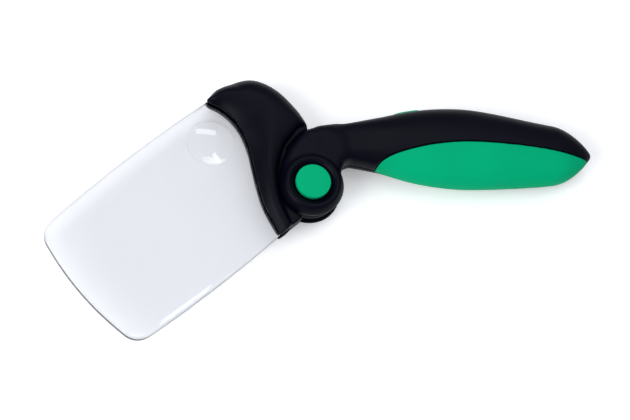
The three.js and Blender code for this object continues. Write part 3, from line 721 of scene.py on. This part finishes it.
RINGS = (10.0, 12.0)
RING_BED_HALF, RING_BED = 0.75, 0.7


# ---- handle ----
def handle_field(g):
    """The handle's own body: ovals along its length that round off to the tip."""
    nose = np.clip(1 - (np.maximum(g.x - NOSE_START, 0) / (HANDLE_TIP - NOSE_START)) ** 2, 0.003, 1)
    half_width = HANDLE_HALF_WIDTH(g.x) * nose**0.8
    half_depth = HANDLE_HALF_DEPTH(g.x) * nose**0.5
    power = HANDLE_OVAL(g.x)
    across = np.abs(g.y - HANDLE_CENTRE(g.x)) / half_width
    up = g.off / half_depth
    oval = (across**power + up**power) ** (1 / power) - 1
    past_tip = (g.x - HANDLE_TIP) / 8
    return in_millimetres(g.full(np.maximum(oval, past_tip)), g.step)


def lug_outline():
    notch = bezier((16, 11.8), (14.4, 10.4), arc(HUB_R, 22, 22, 1)[0])
    shoulder = spline([arc(HUB_R, 172, 172, 1)[0], (-13.4, 8), (-12.3, 12), (-9.7, 17.2), (-5.8, 22.2),
                       (-2, 25.4), (1.8, 26.6), (5.5, 26.8), (9.5, 25.8), (13, 22.5), (15, 18)])
    return np.vstack([[(16, 12.5)], notch, arc(HUB_R, 22, -188, 60), shoulder])


def body_field(g):
    """Handle, hub and the lug between them, joined in soft fillets."""
    handle = handle_field(g)
    neck = rounded_max(handle, NECK_START - g.x, NECK_ROUND)
    plan = outline_distance(g.x, g.y, lug_outline())
    lug = rounded_max(plan, g.off - LUG_HALF_DEPTH, LUG_ROUND)
    dome = (g.out / HUB_R) ** HUB_OVAL + (g.off / HUB_RISE) ** HUB_OVAL
    hub = in_millimetres(g.full(dome ** (1 / HUB_OVAL) - 1), g.step)
    ring = np.hypot(g.out - RING_R, g.z - RING_Z) - RING_ROUND
    hub = rounded_max(rounded_min(hub, ring, HUB_FILLET), HUB_REAR_Z - g.z, 0.8)
    body = rounded_min(rounded_min(neck, lug, LUG_FILLET), hub, HUB_FILLET)
    return handle, body


def slot_field(g):
    angle = np.degrees(np.arctan2(g.y, g.x)) % 360
    start, end = SLOT_SIDE
    past = np.minimum((angle - start) % 360, (end - angle) % 360)
    open_side = ((angle - start) % 360) <= (end - start)
    side = np.where(open_side, -1, 1) * g.out * np.sin(np.radians(np.minimum(past, 90)))
    sector = np.maximum(side, g.out - SLOT_REACH)
    return np.maximum(np.minimum(sector, g.out - SLOT_R), g.off - SLOT_HALF)


def grip_plan(g, edge):
    first, last = edge[0], edge[-1]
    outline = np.vstack([[(first[0] - 0.5, -10)], edge, [(140, last[1]), (140, -10)]])
    return outline_distance(g.x, g.y, outline)


def grip_region(g):
    front = np.maximum(grip_plan(g, GRIP_FRONT_EDGE), GRIP_SPLIT_Z - g.z)
    rear = np.maximum(grip_plan(g, GRIP_REAR_EDGE), g.z - GRIP_SPLIT_Z)
    return np.minimum(front, rear)


def grip_inlay_field(g):
    handle = handle_field(g)
    skin_only = rounded_max(handle, -(handle + GRIP_THICK), 0.4)
    return rounded_max(skin_only, grip_region(g), 0.5)


def stadium(along, across, length, width):
    """A long hole with round ends, in its own plane."""
    reach = (length - width) / 2
    return np.hypot(np.maximum(np.abs(along) - reach, 0), across) - width / 2


def on_handle_top(g):
    """Places in the light button's own frame: along the handle, across it, and out of it."""
    c, s = math.cos(PRESS_ANGLE), math.sin(PRESS_ANGLE)
    dx, dy = g.x - LIGHT_BUTTON[0], g.y - LIGHT_BUTTON[1]
    return dx * c + dy * s, g.z - LIGHT_BUTTON[2], dy * c - dx * s


def button_pocket(g):
    along, across, out = on_handle_top(g)
    mouth = np.maximum(stadium(along, across, BUTTON_LENGTH + 0.6, BUTTON_WIDTH + 0.6), -4 - out)
    flange = stadium(along, across, BUTTON_LENGTH + 3.4, BUTTON_WIDTH + 2)
    return np.minimum(mouth, np.maximum(flange, np.abs(out + 4.65) - 1.55))


def light_button_field(g):
    along, across, out = on_handle_top(g)
    crown = 0.5 - 0.006 * along**2 - 0.03 * across**2
    cap = rounded_max(stadium(along, across, BUTTON_LENGTH, BUTTON_WIDTH), out - crown, 1.2)
    ribs = np.hypot(np.abs(np.abs(along) - 1.1) - 1.1, out - crown - 0.25) - 0.45
    cap = cut(np.maximum(cap, -BUTTON_DEPTH - out), np.maximum(ribs, np.abs(across) - 2.2), 0.2)
    flange = stadium(along, across, BUTTON_LENGTH + 2.4, BUTTON_WIDTH + 1)
    return np.minimum(cap, rounded_max(flange, np.abs(out + FLANGE_DEPTH) - FLANGE_HALF, 0.2))


def joined(g, fields):
    return np.minimum.reduce([g.full(field) for field in fields])


def screw_holes(g, screws):
    heads = [pillar(g, (x, y), SCREW_HEAD_R + GAP, -5, z + 1.6) for x, y, z in screws]
    shafts = [pillar(g, (x, y), SCREW_R + SCREW_ROOM, z, SCREW_TIP_Z + GAP) for x, y, z in screws]
    return joined(g, heads + shafts)


def posts(g, centres, z0, z1):
    return joined(g, [pillar(g, centre[:2], BOSS_R, z0, z1) for centre in centres])


def handle_shell(g, half, supports):
    """Half of the hollow body, with supports inside, and room for grip, hinge and button."""
    handle, body = body_field(g)
    shell = rounded_max(body, half, EDGE_ROUND)
    shell = cut(shell, np.maximum(handle + HANDLE_WALL, CAVITY_START - g.x))
    for support in supports:
        shell = rounded_min(shell, np.maximum(support, handle + 1), POST_FILLET)
    grip_recess = np.maximum(-(handle + GRIP_THICK + GAP), grip_region(g) - GAP)
    for tool in (grip_recess, slot_field(g), button_pocket(g)):
        shell = cut(shell, tool, EDGE_ROUND)
    return shell


def front_shell_field(g):
    screw_posts = posts(g, [*HANDLE_SCREWS, DOOR_SCREW], MID_Z + SEAM, FAR)
    ribs = [block(g, x, y, (MID_Z + SEAM, 30)) for x, y in CELL_RIBS]
    shell = handle_shell(g, MID_Z + SEAM - g.z, [screw_posts, np.minimum(*ribs)])
    well = np.maximum(g.out - WELL_R, WELL_FLOOR_Z - g.z)
    dish = np.maximum((g.out - WELL_R - (g.z - DISH_Z) * DISH_SLOPE) * DISH_STEEPNESS, DISH_Z - g.z)
    shell = cut(shell, np.minimum(well, dish), 0.7)
    shell = cut(shell, np.maximum(g.out - STEM_HOLE_R, STEM_HOLE_Z - g.z))
    return cut(shell, screw_holes(g, HANDLE_SCREWS))


def door_plan(g):
    """Distance past the door's outline, a rectangle with round corners."""
    dx, dy = past_range(g.x, *DOOR_X) + DOOR_R, past_range(g.y, *DOOR_Y) + DOOR_R
    return np.hypot(np.maximum(dx, 0), np.maximum(dy, 0)) + np.minimum(np.maximum(dx, dy), 0) - DOOR_R


def rear_shell_field(g):
    shell = handle_shell(g, g.z - MID_Z + SEAM, [posts(g, HANDLE_SCREWS, -10, MID_Z - SEAM)])
    shell = cut(shell, door_plan(g) - GAP, 0.4)
    shell = cut(shell, screw_holes(g, HANDLE_SCREWS), EDGE_ROUND)
    for r, z0, z1 in REAR_BORES:
        shell = cut(shell, pillar(g, (0, 0), r, z0, z1), 0.25)
    return cut(cut(shell, block(g, *FINGER_ROOM)), block(g, *WIRE_ROOM))


def battery_door_field(g):
    handle = handle_field(g)
    skin_only = rounded_max(handle, -(handle + DOOR_THICK), 0.4)
    door = rounded_max(rounded_max(skin_only, door_plan(g), 0.5), g.z - DOOR_TOP_Z, 0.3)
    past_ends = np.abs(g.y - DOOR_SCREW[1]) - GROOVE_HALF
    grooves = [np.maximum(np.hypot(g.x - x, handle) - GROOVE_R, past_ends) for x in DOOR_GROOVES]
    door = cut(door, joined(g, grooves))
    door = cut(door, pillar(g, DOOR_SCREW, SCREW_HEAD_R + GAP, -5, 2.1))
    return cut(door, pillar(g, DOOR_SCREW, SCREW_R + SCREW_ROOM, -5, 8), 0.2)


# ---- head ----
def blurred(values, passes):
    """A plan of numbers, evened out over its neighbours."""
    for _ in range(passes):
        for axis in (0, 1):
            ends = np.concatenate([values.take([0], axis), values, values.take([-1], axis)], axis)
            n = values.shape[axis]
            values = (ends.take(range(n), axis) + 2 * values + ends.take(range(2, n + 2), axis)) / 4
    return values


def past_edge(g, edge, beyond, *corners):
    """Distance past an edge that runs on straight at both ends; the corners close it round the far side."""
    start = edge[0] + (edge[0] - edge[1]) * beyond
    end = edge[-1] + (edge[-1] - edge[-2]) * beyond
    return outline_distance(g.x, g.y, np.vstack([[start], edge, [end], corners]))


def along_line(line, pace, at):
    """Points on a line of points, where pace says how far along each of them is."""
    return np.stack([np.interp(at, pace, line[:, k]) for k in (0, 1)], 1)


def head_places(g):
    """Distance past the edge over the lens and past the outer edge, and the place along the head, 0 to 1."""
    past_lens_side = past_edge(g, LENS_SIDE_EDGE, 16, (-90, 60), (-90, -120))
    past_outer = past_edge(g, OUTER_EDGE, 12, (120, 60), (120, -120))
    share = np.linspace(0, 1, 40)
    inner, outer = (along_line(e, np.linspace(0, 1, len(e)), share) for e in (LENS_SIDE_EDGE, OUTER_EDGE))
    total, weight = 0.0, 0.0
    for place, (x, y) in zip(share, (inner + outer) / 2):
        near = 1 / ((g.x - x) ** 2 + (g.y - y) ** 2 + 6) ** 2
        total, weight = total + place * near, weight + near
    return past_lens_side, past_outer, total / weight


def head_field(g):
    """The whole head, mirrored about the parting plane."""
    past_lens_side, past_outer, along = head_places(g)
    depth_in = np.maximum(-past_lens_side, 0)
    across = blurred(depth_in / (depth_in + np.maximum(-past_outer, 0) + 0.5), 12)
    ramp = np.clip(across / CREST_AT, 0, 1)
    crown = LENS_SIDE_DEPTH + (1 - LENS_SIDE_DEPTH) * np.sin(ramp * math.pi / 2)
    crown = crown - 0.25 * np.clip((across - 0.5) / 0.5, 0, 1) ** 2
    dome = in_millimetres(g.full(g.off - HEAD_HALF_DEPTH(along) * crown), g.step)
    past_free = past_edge(g, OUTER_FREE, 12, (-10, 60), (120, 60), (120, -120))
    at_tip = np.clip((g.x - TIP_EASE_X) / TIP_EASE_RUN, 0, 1)
    field = rounded_max(dome, past_free, FREE_SHOULDER - TIP_EASE * at_tip)
    past_groove = past_edge(g, GROOVE_WALL, 12, (120, 60), (120, -120), (-90, -120), (-90, 40))
    field = rounded_max(field, past_groove, GROOVE_SHOULDER)
    field = rounded_max(field, HUB_CLEAR_R - g.out, 0.5)
    field = rounded_min(field, groove_floor(g), 0.8)
    undercut = past_lens_side + UNDERCUT * np.maximum(UNDERCUT_TOP - g.off, 0)
    field = rounded_max(field, undercut, 1.1)
    return rounded_max(field, g.y - HEAD_END, 0.8), past_lens_side, along


def groove_floor(g):
    """The head's middle layer, which runs on under the lug almost to the hub."""
    start = OUTER_FREE[0] + (OUTER_FREE[0] - OUTER_FREE[1]) * 12
    free_side = np.vstack([[start], OUTER_FREE, [(-14, -12), (-8, 0), (-8, 60), (120, 60), (120, -120)]])
    c, s = math.cos(HEAD_ANGLE), math.sin(HEAD_ANGLE)
    to_lug = outline_distance(g.x * c - g.y * s, g.x * s + g.y * c, lug_outline())
    free = outline_distance(g.x, g.y, free_side) + FLOOR_INSET
    plan = np.maximum(free, np.maximum(0.25 - to_lug, FLOOR_END_R - g.out))
    return rounded_max(plan, g.off - TONGUE_HALF, 0.8)


def lens_outline(margin=0.0):
    """Straight under the head, slightly bowed beyond it, with round corners at the far end."""
    low, high, end, r = LENS_LOW_Y - margin, LENS_HIGH_Y + margin, LENS_END_X + margin, LENS_CORNER_R
    sides = [bezier((8, low), (52, low - 2 * SIDE_BOW), (end - r, low), count=24),
             bezier((end - r, low), (end - 0.9, low + 0.9), (end, low + r)),
             bezier((end, low + r), (end + 2 * END_BOW, (low + high) / 2), (end, high - r), count=24),
             bezier((end, high - r), (end - 0.9, high - 0.9), (end - r, high)),
             bezier((end - r, high), (52, high + 2 * SIDE_BOW), (8, high), count=24)]
    return np.vstack([[(-10, low)], *[side[:-1] for side in sides], [(8, high), (-10, high)]])


def lens_pocket(g, past_lens_side):
    open_end = np.maximum(POCKET_MOUTH[0] - g.x, g.y - POCKET_MOUTH[1])
    plan = np.minimum(outline_distance(g.x, g.y, lens_outline(GAP)), open_end)
    tail = -(past_lens_side + LENS_TAIL + GAP)
    return np.maximum(np.maximum(plan, tail), g.off - LENS_HALF - POCKET_ROOM)


def tongue_field(g):
    angle = np.degrees(np.arctan2(g.y, g.x))
    start, end = TONGUE_SIDE
    past = np.minimum(np.abs(angle - start), np.abs(angle - end))
    inside = (angle >= start) & (angle <= end)
    side = np.where(inside, -1, 1) * g.out * np.sin(np.radians(np.minimum(past, 90)))
    return np.minimum(g.out - TONGUE_R, np.maximum(side, g.out - TONGUE_REACH))


def head_shell(g, side):
    """side is 1 for the front half and -1 for the rear half."""
    head, past_lens_side, along = head_field(g)
    half = side * (MID_Z - g.z) + SEAM
    shell = rounded_max(head, half, EDGE_ROUND)
    tongue = np.maximum(np.maximum(tongue_field(g), g.off - TONGUE_HALF), half)
    shell = rounded_min(shell, tongue, 0.6)
    lamp_room = np.abs(along - LAMP_ROOM_AT) * HEAD_LENGTH - LAMP_ROOM_HALF
    room = np.maximum(np.maximum(head + HEAD_WALL, lamp_room), HUB_CLEAR_R + HEAD_WALL - g.out)
    past_pocket = past_lens_side + LENS_TAIL + GAP + POCKET_WALL
    room = np.maximum(room, np.minimum(past_pocket, POCKET_WALL_HALF - g.off))
    shell = cut(shell, room)
    z0, z1 = (MID_Z + SEAM, FAR) if side > 0 else (-10, MID_Z - SEAM)
    shell = rounded_min(shell, np.maximum(posts(g, HEAD_SCREWS, z0, z1), head + 1), POST_FILLET)
    shell = cut(shell, lens_pocket(g, past_lens_side))
    shell = cut(shell, g.full(g.out - PIVOT_BORE_R))
    return cut(shell, screw_holes(g, HEAD_SCREWS), EDGE_ROUND), head


def head_front_field(g):
    shell, head = head_shell(g, 1)
    pins = [np.maximum(pillar(g, pin, PIN_R, MID_Z - 1.5, MID_Z + 6), head + 1) for pin in LENS_PINS]
    return np.minimum.reduce([shell, *pins])


def head_rear_field(g):
    shell, head = head_shell(g, -1)
    window = stadium(g.y - WINDOW[1], g.x - WINDOW[0], WINDOW_LENGTH + 2 * GAP, WINDOW_WIDTH + 2 * GAP)
    shell = cut(shell, np.maximum(window, g.z - WINDOW_TOP_Z), EDGE_ROUND)
    bed = g.z - MID_Z + TONGUE_HALF - RING_BED
    rings = [np.maximum(np.abs(g.out - r) - RING_BED_HALF, bed) for r in RINGS]
    return cut(cut(shell, block(g, *LED_WIRE_ROOM)), joined(g, rings))


def led_window_field(g):
    head = head_field(g)[0]
    skin_only = rounded_max(head + 0.2, -(head + 1.4), 0.3)
    window = stadium(g.y - WINDOW[1], g.x - WINDOW[0], WINDOW_LENGTH, WINDOW_WIDTH)
    return rounded_max(rounded_max(skin_only, window, 0.4), g.z - WINDOW_TOP_Z, 0.3)


# ---- lens ----
def lens_rim():
    """The lens outline, with points closer together where the reading spot is near."""
    outline = lens_outline()
    sides = outline[outline[:, 0] > np.where(outline[:, 1] < -20, 7.9, 20.6)]
    tail = LENS_SIDE_EDGE - [LENS_TAIL, 0]
    v = np.linspace(LENS_HIGH_Y, LENS_LOW_Y, 60)
    rim = np.vstack([sides[:-1], np.c_[np.interp(v, tail[:, 1], tail[:, 0]), v]])
    closed = np.vstack([rim, rim[:1]])
    run = np.hypot(*np.diff(closed, axis=0).T)
    sweep = np.unwrap(np.arctan2(*(closed - SPOT).T[::-1]))
    pace = np.concatenate([[0], np.cumsum(run / 1.3 + np.abs(np.diff(sweep)) / 0.05)])
    at = np.linspace(0, pace[-1], int(pace[-1]), endpoint=False)
    return along_line(closed, pace, at)


def lens_face(plan, spot_rise):
    """How far the lens stands off its middle plane: a low crown, and the round reading spot."""
    out = np.hypot(*(plan - LENS_MIDDLE).T) / LENS_CROWN_R
    far = np.hypot(*(plan - SPOT).T) / SPOT_R
    spot = np.where(far < 0.999, spot_rise * (SPOT_STEP + SPOT_CROWN * (1 - far**2)), 0)
    return LENS_HALF + LENS_CROWN * np.maximum(1 - out**2, 0) * (far >= 0.999) + spot


def lens_rings():
    rim = lens_rim()
    ahead = np.roll(rim, -1, 0) - np.roll(rim, 1, 0)
    inward = np.c_[-ahead[:, 1], ahead[:, 0]] / np.linalg.norm(ahead, axis=1)[:, None]
    for _ in range(3):
        inward = (np.roll(inward, 1, 0) + 2 * inward + np.roll(inward, -1, 0)) / 4
    inner_rim = rim + inward * LENS_EDGE_R
    way = (rim - SPOT) / np.hypot(*(rim - SPOT).T)[:, None]
    spot_rim = SPOT + SPOT_R * way

    def face(side, spot_rise):
        rings = [np.array([[*SPOT, MID_Z + side * lens_face(np.array([SPOT]), spot_rise)[0]]])]
        plans = [SPOT + (spot_rim - SPOT) * f for f in (0.15, 0.3, 0.45, 0.6, 0.72, 0.83, 0.92, 0.98, 0.998)]
        plans += [spot_rim + (inner_rim - spot_rim) * f**1.2 for f in np.linspace(0, 1, 22)]
        return rings + [np.c_[plan, MID_Z + side * lens_face(plan, spot_rise)] for plan in plans]

    front, rear = face(1, 1.0), face(-1, 0.0)
    height = lens_face(inner_rim, 0)
    corner = []
    for turn in np.radians(np.linspace(15, 90, 6)):
        plan = rim + inward * LENS_EDGE_R * (1 - math.sin(turn))
        corner.append((plan, height - LENS_EDGE_R * (1 - math.cos(turn))))
    upper = [np.c_[plan, MID_Z + h] for plan, h in corner]
    lower = [np.c_[plan, MID_Z - h] for plan, h in corner]
    return rear + lower + upper[::-1] + front[::-1]


points, faces = wrapped(lens_rings())
add_piece("lens_plate", points, faces, "head", ["lens"], "clear_acrylic", HEAD_ANGLE,
          holes=[(pin, PIN_HOLE_R, MID_Z - 6, MID_Z + 6) for pin in LENS_PINS])


# ---- turned and drawn pieces ----
SCREW_STEP = (0.15, 0.15, 0.17)


def screw_field(place, low, tip):
    x, y = place[:2]

    def field(g):
        dx, dy = np.abs(g.x - x), np.abs(g.y - y)
        out, angle = np.hypot(g.x - x, g.y - y), np.arctan2(g.y - y, g.x - x)
        head = rounded_max(np.abs(g.z - low - 0.7) - 0.7, out - SCREW_HEAD_R, 0.35)
        thread = SCREW_R - 0.1 + 0.1 * np.sin(2 * math.pi * g.z / 0.8 - angle)
        shaft = np.maximum(np.maximum(out - thread, low - g.z), (g.z - tip) * 0.9 + out * 0.5)
        cross = np.maximum(np.minimum(dx, dy) - 0.32, np.maximum(dx, dy) - 1.25)
        return cut(np.minimum(head, shaft), np.maximum(cross, g.z - low - 0.8), 0.1)

    return field


def add_screw(name, place, low, tip, body, node_name, turn=0.0):
    x, y = place[:2]
    mould(name, screw_field(place, low, tip), (x - 2.1, y - 2.1, low - 0.1), (x + 2.1, y + 2.1, tip + 0.1),
          SCREW_STEP, body, [node_name], "steel", turn)


for n, screw in enumerate(HANDLE_SCREWS, 1):
    add_screw(f"case_screw_{n}", screw, screw[2], SCREW_TIP_Z, "handle", f"handle_screw_{n}")
for n, screw in enumerate(HEAD_SCREWS, 1):
    add_screw(f"lens_screw_{n}", screw, screw[2], SCREW_TIP_Z, "head", f"head_screw_{n}", HEAD_ANGLE)
add_screw("bay_screw", DOOR_SCREW, 0.5, 14.5, "battery_door", "door_screw")

BUTTON_SECTION = softened([(0, 18), (2.8, 18), (2.8, 12.7), (4.2, 12.7), (4.2, 18.3), (7.75, 18.3),
                           (7.75, 20.75), (5, 20.95), (0, 21.05)], 0.45)
CAP_SECTION = softened([(0, 0.3), (5.6, 0.3), (6, 0), (7.3, 0), (7.7, 0.4), (7.7, 1.4), (0, 1.4)], 0.25)
CELL_SECTION = softened([(0, 0), (3.4, 0), (3.4, 0.3), (4.75, 0.3), (5.25, 0.8), (5.25, 42.9),
                         (4.75, 43.4), (1.9, 43.4), (1.9, BATTERY_LENGTH), (0, BATTERY_LENGTH)], 0.3)
LAMP_SECTION = softened([(0, 4.7), (0.7, 4.78), (1.3, 5), (1.8, 5.4), (2, 5.9), (2, 6.6), (2.4, 6.6),
                         (2.4, 7.3), (0, 7.3)], 0.12)
BUSH_SECTION = softened([(8.2, 11), (8.2, 14.8), (4.6, 14.8), (4.6, 12.7), (4.95, 12.4), (6.4, 7.2),
                         (8.2, 7.2), (8.2, 11)], 0.2)
turn_piece("push_button", BUTTON_SECTION, "release_button", ["release_button"], "green_plastic")
turn_piece("hub_cap", CAP_SECTION, "handle", ["rear_cap"], "black_soft_touch")
for n, (y, lamp_y) in enumerate(zip(CELL_Y, LAMP_Y), 1):
    turn_piece(f"cell_{n}", CELL_SECTION, "handle", [f"battery_{n}"], "battery_can",
               (BATTERY_X, y, MID_Z), along_x=True)
    turns = np.linspace(0, 1, 90)
    across = (3.4 - 1.8 * turns) * np.exp(6j * math.pi * turns)
    coil = np.c_[BATTERY_X - 3.7 + 3.2 * turns, y + across.real, MID_Z + across.imag]
    draw_wire(f"cell_spring_{n}", coil, 0.3, "handle", [f"battery_spring_{n}"], "steel")
    turn_piece(f"lamp_{n}", LAMP_SECTION, "head", [f"led_{n}"], "lamp_epoxy", (WINDOW[0], lamp_y, 0),
               turn=HEAD_ANGLE, count=48)


def add_ring(name, inner, outer, low, high, body, node_name, slot):
    """A flat ring round the hinge, with eased edges; its section starts and ends inside the bore."""
    start = (inner, (low + high) / 2)
    corners = [start, (inner, low), (outer, low), (outer, high), (inner, high), start]
    turn_piece(name, softened(corners, 0.12), body, [node_name], slot, count=96)


add_ring("front_washer", 8.8, 12.6, 14.9, 15.5, "handle", "washer_front", "nylon")
add_ring("rear_washer", 7.1, 8.7, 6.5, 7.1, "handle", "washer_rear", "nylon")
for label, r in zip(("inner", "outer"), RINGS):
    add_ring(f"slip_ring_{label}", r - 0.55, r + 0.55, 7.2, 7.7, "head", f"contact_ring_{label}", "brass")
turn_piece("hinge_bush", BUSH_SECTION, "head", ["pivot_bush"], "brass", count=96)

turns = np.linspace(0, 2.5 * 2 * math.pi, 140)
lift = 2.5 * np.clip(turns / turns[-1] * 1.16 - 0.08, 0, 1)
lock_spring = draw_wire("lock_spring", np.c_[4.4 * np.cos(turns), 4.4 * np.sin(turns), 4.3 + lift], 0.35,
                        "handle", ["clutch_spring"], "steel")
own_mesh(lock_spring)

WIRES = {
    "finger_wire_inner": [(10, 14.8, 5.2), (11.4, 16.3, 5.6), (14, 16.4, 6), (22, 16.4, 6.2),
                          (30, 16.4, 7), (38, 16, 7.3), (45, 16.7, 7.5), (51, 15.4, 8.5), (52.6, 14.7, 10)],
    "finger_wire_outer": [(7.6, 16.2, 5.4), (9.2, 18.3, 6), (14, 18.6, 7.2), (22, 18.4, 7.4), (30, 17.6, 8.2),
                          (36, 20.2, 9.6), (44.2, 24.2, 11)],
    "battery_wire": [(50, 25.2, 9), (51.2, 24.2, 9.2), (52.6, 25.2, 10.2)],
    "led_wire_inner": [(2.8, -9.6, 9.2), (4.8, -15.1, 9.6), (5, -21.6, 9.9), (3.9, -26.8, 9.8),
                       (0.6, -31, 9.6), (-1.5, -34, 9.2)],
    "led_wire_outer": [(4.7, -11.1, 8.9), (6.2, -15.1, 8.9), (5.4, -22.4, 8.6), (4.2, -28, 8.2),
                       (2.4, -31.4, 7.8), (2, -36, 7.8)],
}
for wire, route in WIRES.items():
    body, turn = ("head", HEAD_ANGLE) if wire.startswith("led") else ("handle", 0)
    colour = "black_wire" if wire.endswith("inner") else "red_wire"
    draw_wire(f"lead_{wire}", spline(route), 0.5, body, [wire], colour, turn)


# ---- moulded pieces ----
HANDLE_STEP = (0.6, 0.45, 0.45)
HEAD_STEP = (0.45,) * 3
SMALL_STEP = (0.3,) * 3
mould("handle_front", front_shell_field, (-15.5, -15.5, 10.6), (131, 42, 21.4), HANDLE_STEP,
      "handle", ["handle_front_shell"], "black_soft_touch")
mould("handle_rear", rear_shell_field, (-15.5, -15.5, 0.5), (131, 42, 11.4), HANDLE_STEP,
      "handle", ["handle_rear_shell"], "black_soft_touch")
mould("grip", grip_inlay_field, (28, 1, 0), (131, 22, 21.4), HANDLE_STEP,
      "handle", ["grip_inlay"], "green_rubber")
mould("door", battery_door_field, (47, 8, -0.5), (109, 32, 8.5), HANDLE_STEP,
      "battery_door", ["battery_door"], "black_soft_touch")
mould("light_key", light_button_field, (35, 30, 6), (55, 41, 16), SMALL_STEP,
      "light_button", ["light_button"], "green_plastic")
mould("head_front", head_front_field, (-21, -61, 9), (29, 20, 21.4), HEAD_STEP,
      "head", ["head_front_shell"], "black_soft_touch", HEAD_ANGLE)
mould("head_rear", head_rear_field, (-21, -61, 0.5), (29, 20, 11.4), HEAD_STEP,
      "head", ["head_rear_shell"], "black_soft_touch", HEAD_ANGLE)
mould("lamp_window", led_window_field, (-5.5, -50, 0.5), (2.5, -29, 8.5), SMALL_STEP,
      "head", ["led_window"], "clear_acrylic", HEAD_ANGLE)

for subpart in frame["record"]["subparts"]:
    cad = frame["nodes"][subpart["node"]]
    cad.data.materials.clear()
    cad.data.materials.append(MATERIALS[subpart["material_slot"]])

add_camera()
add_floor()
add_lights()
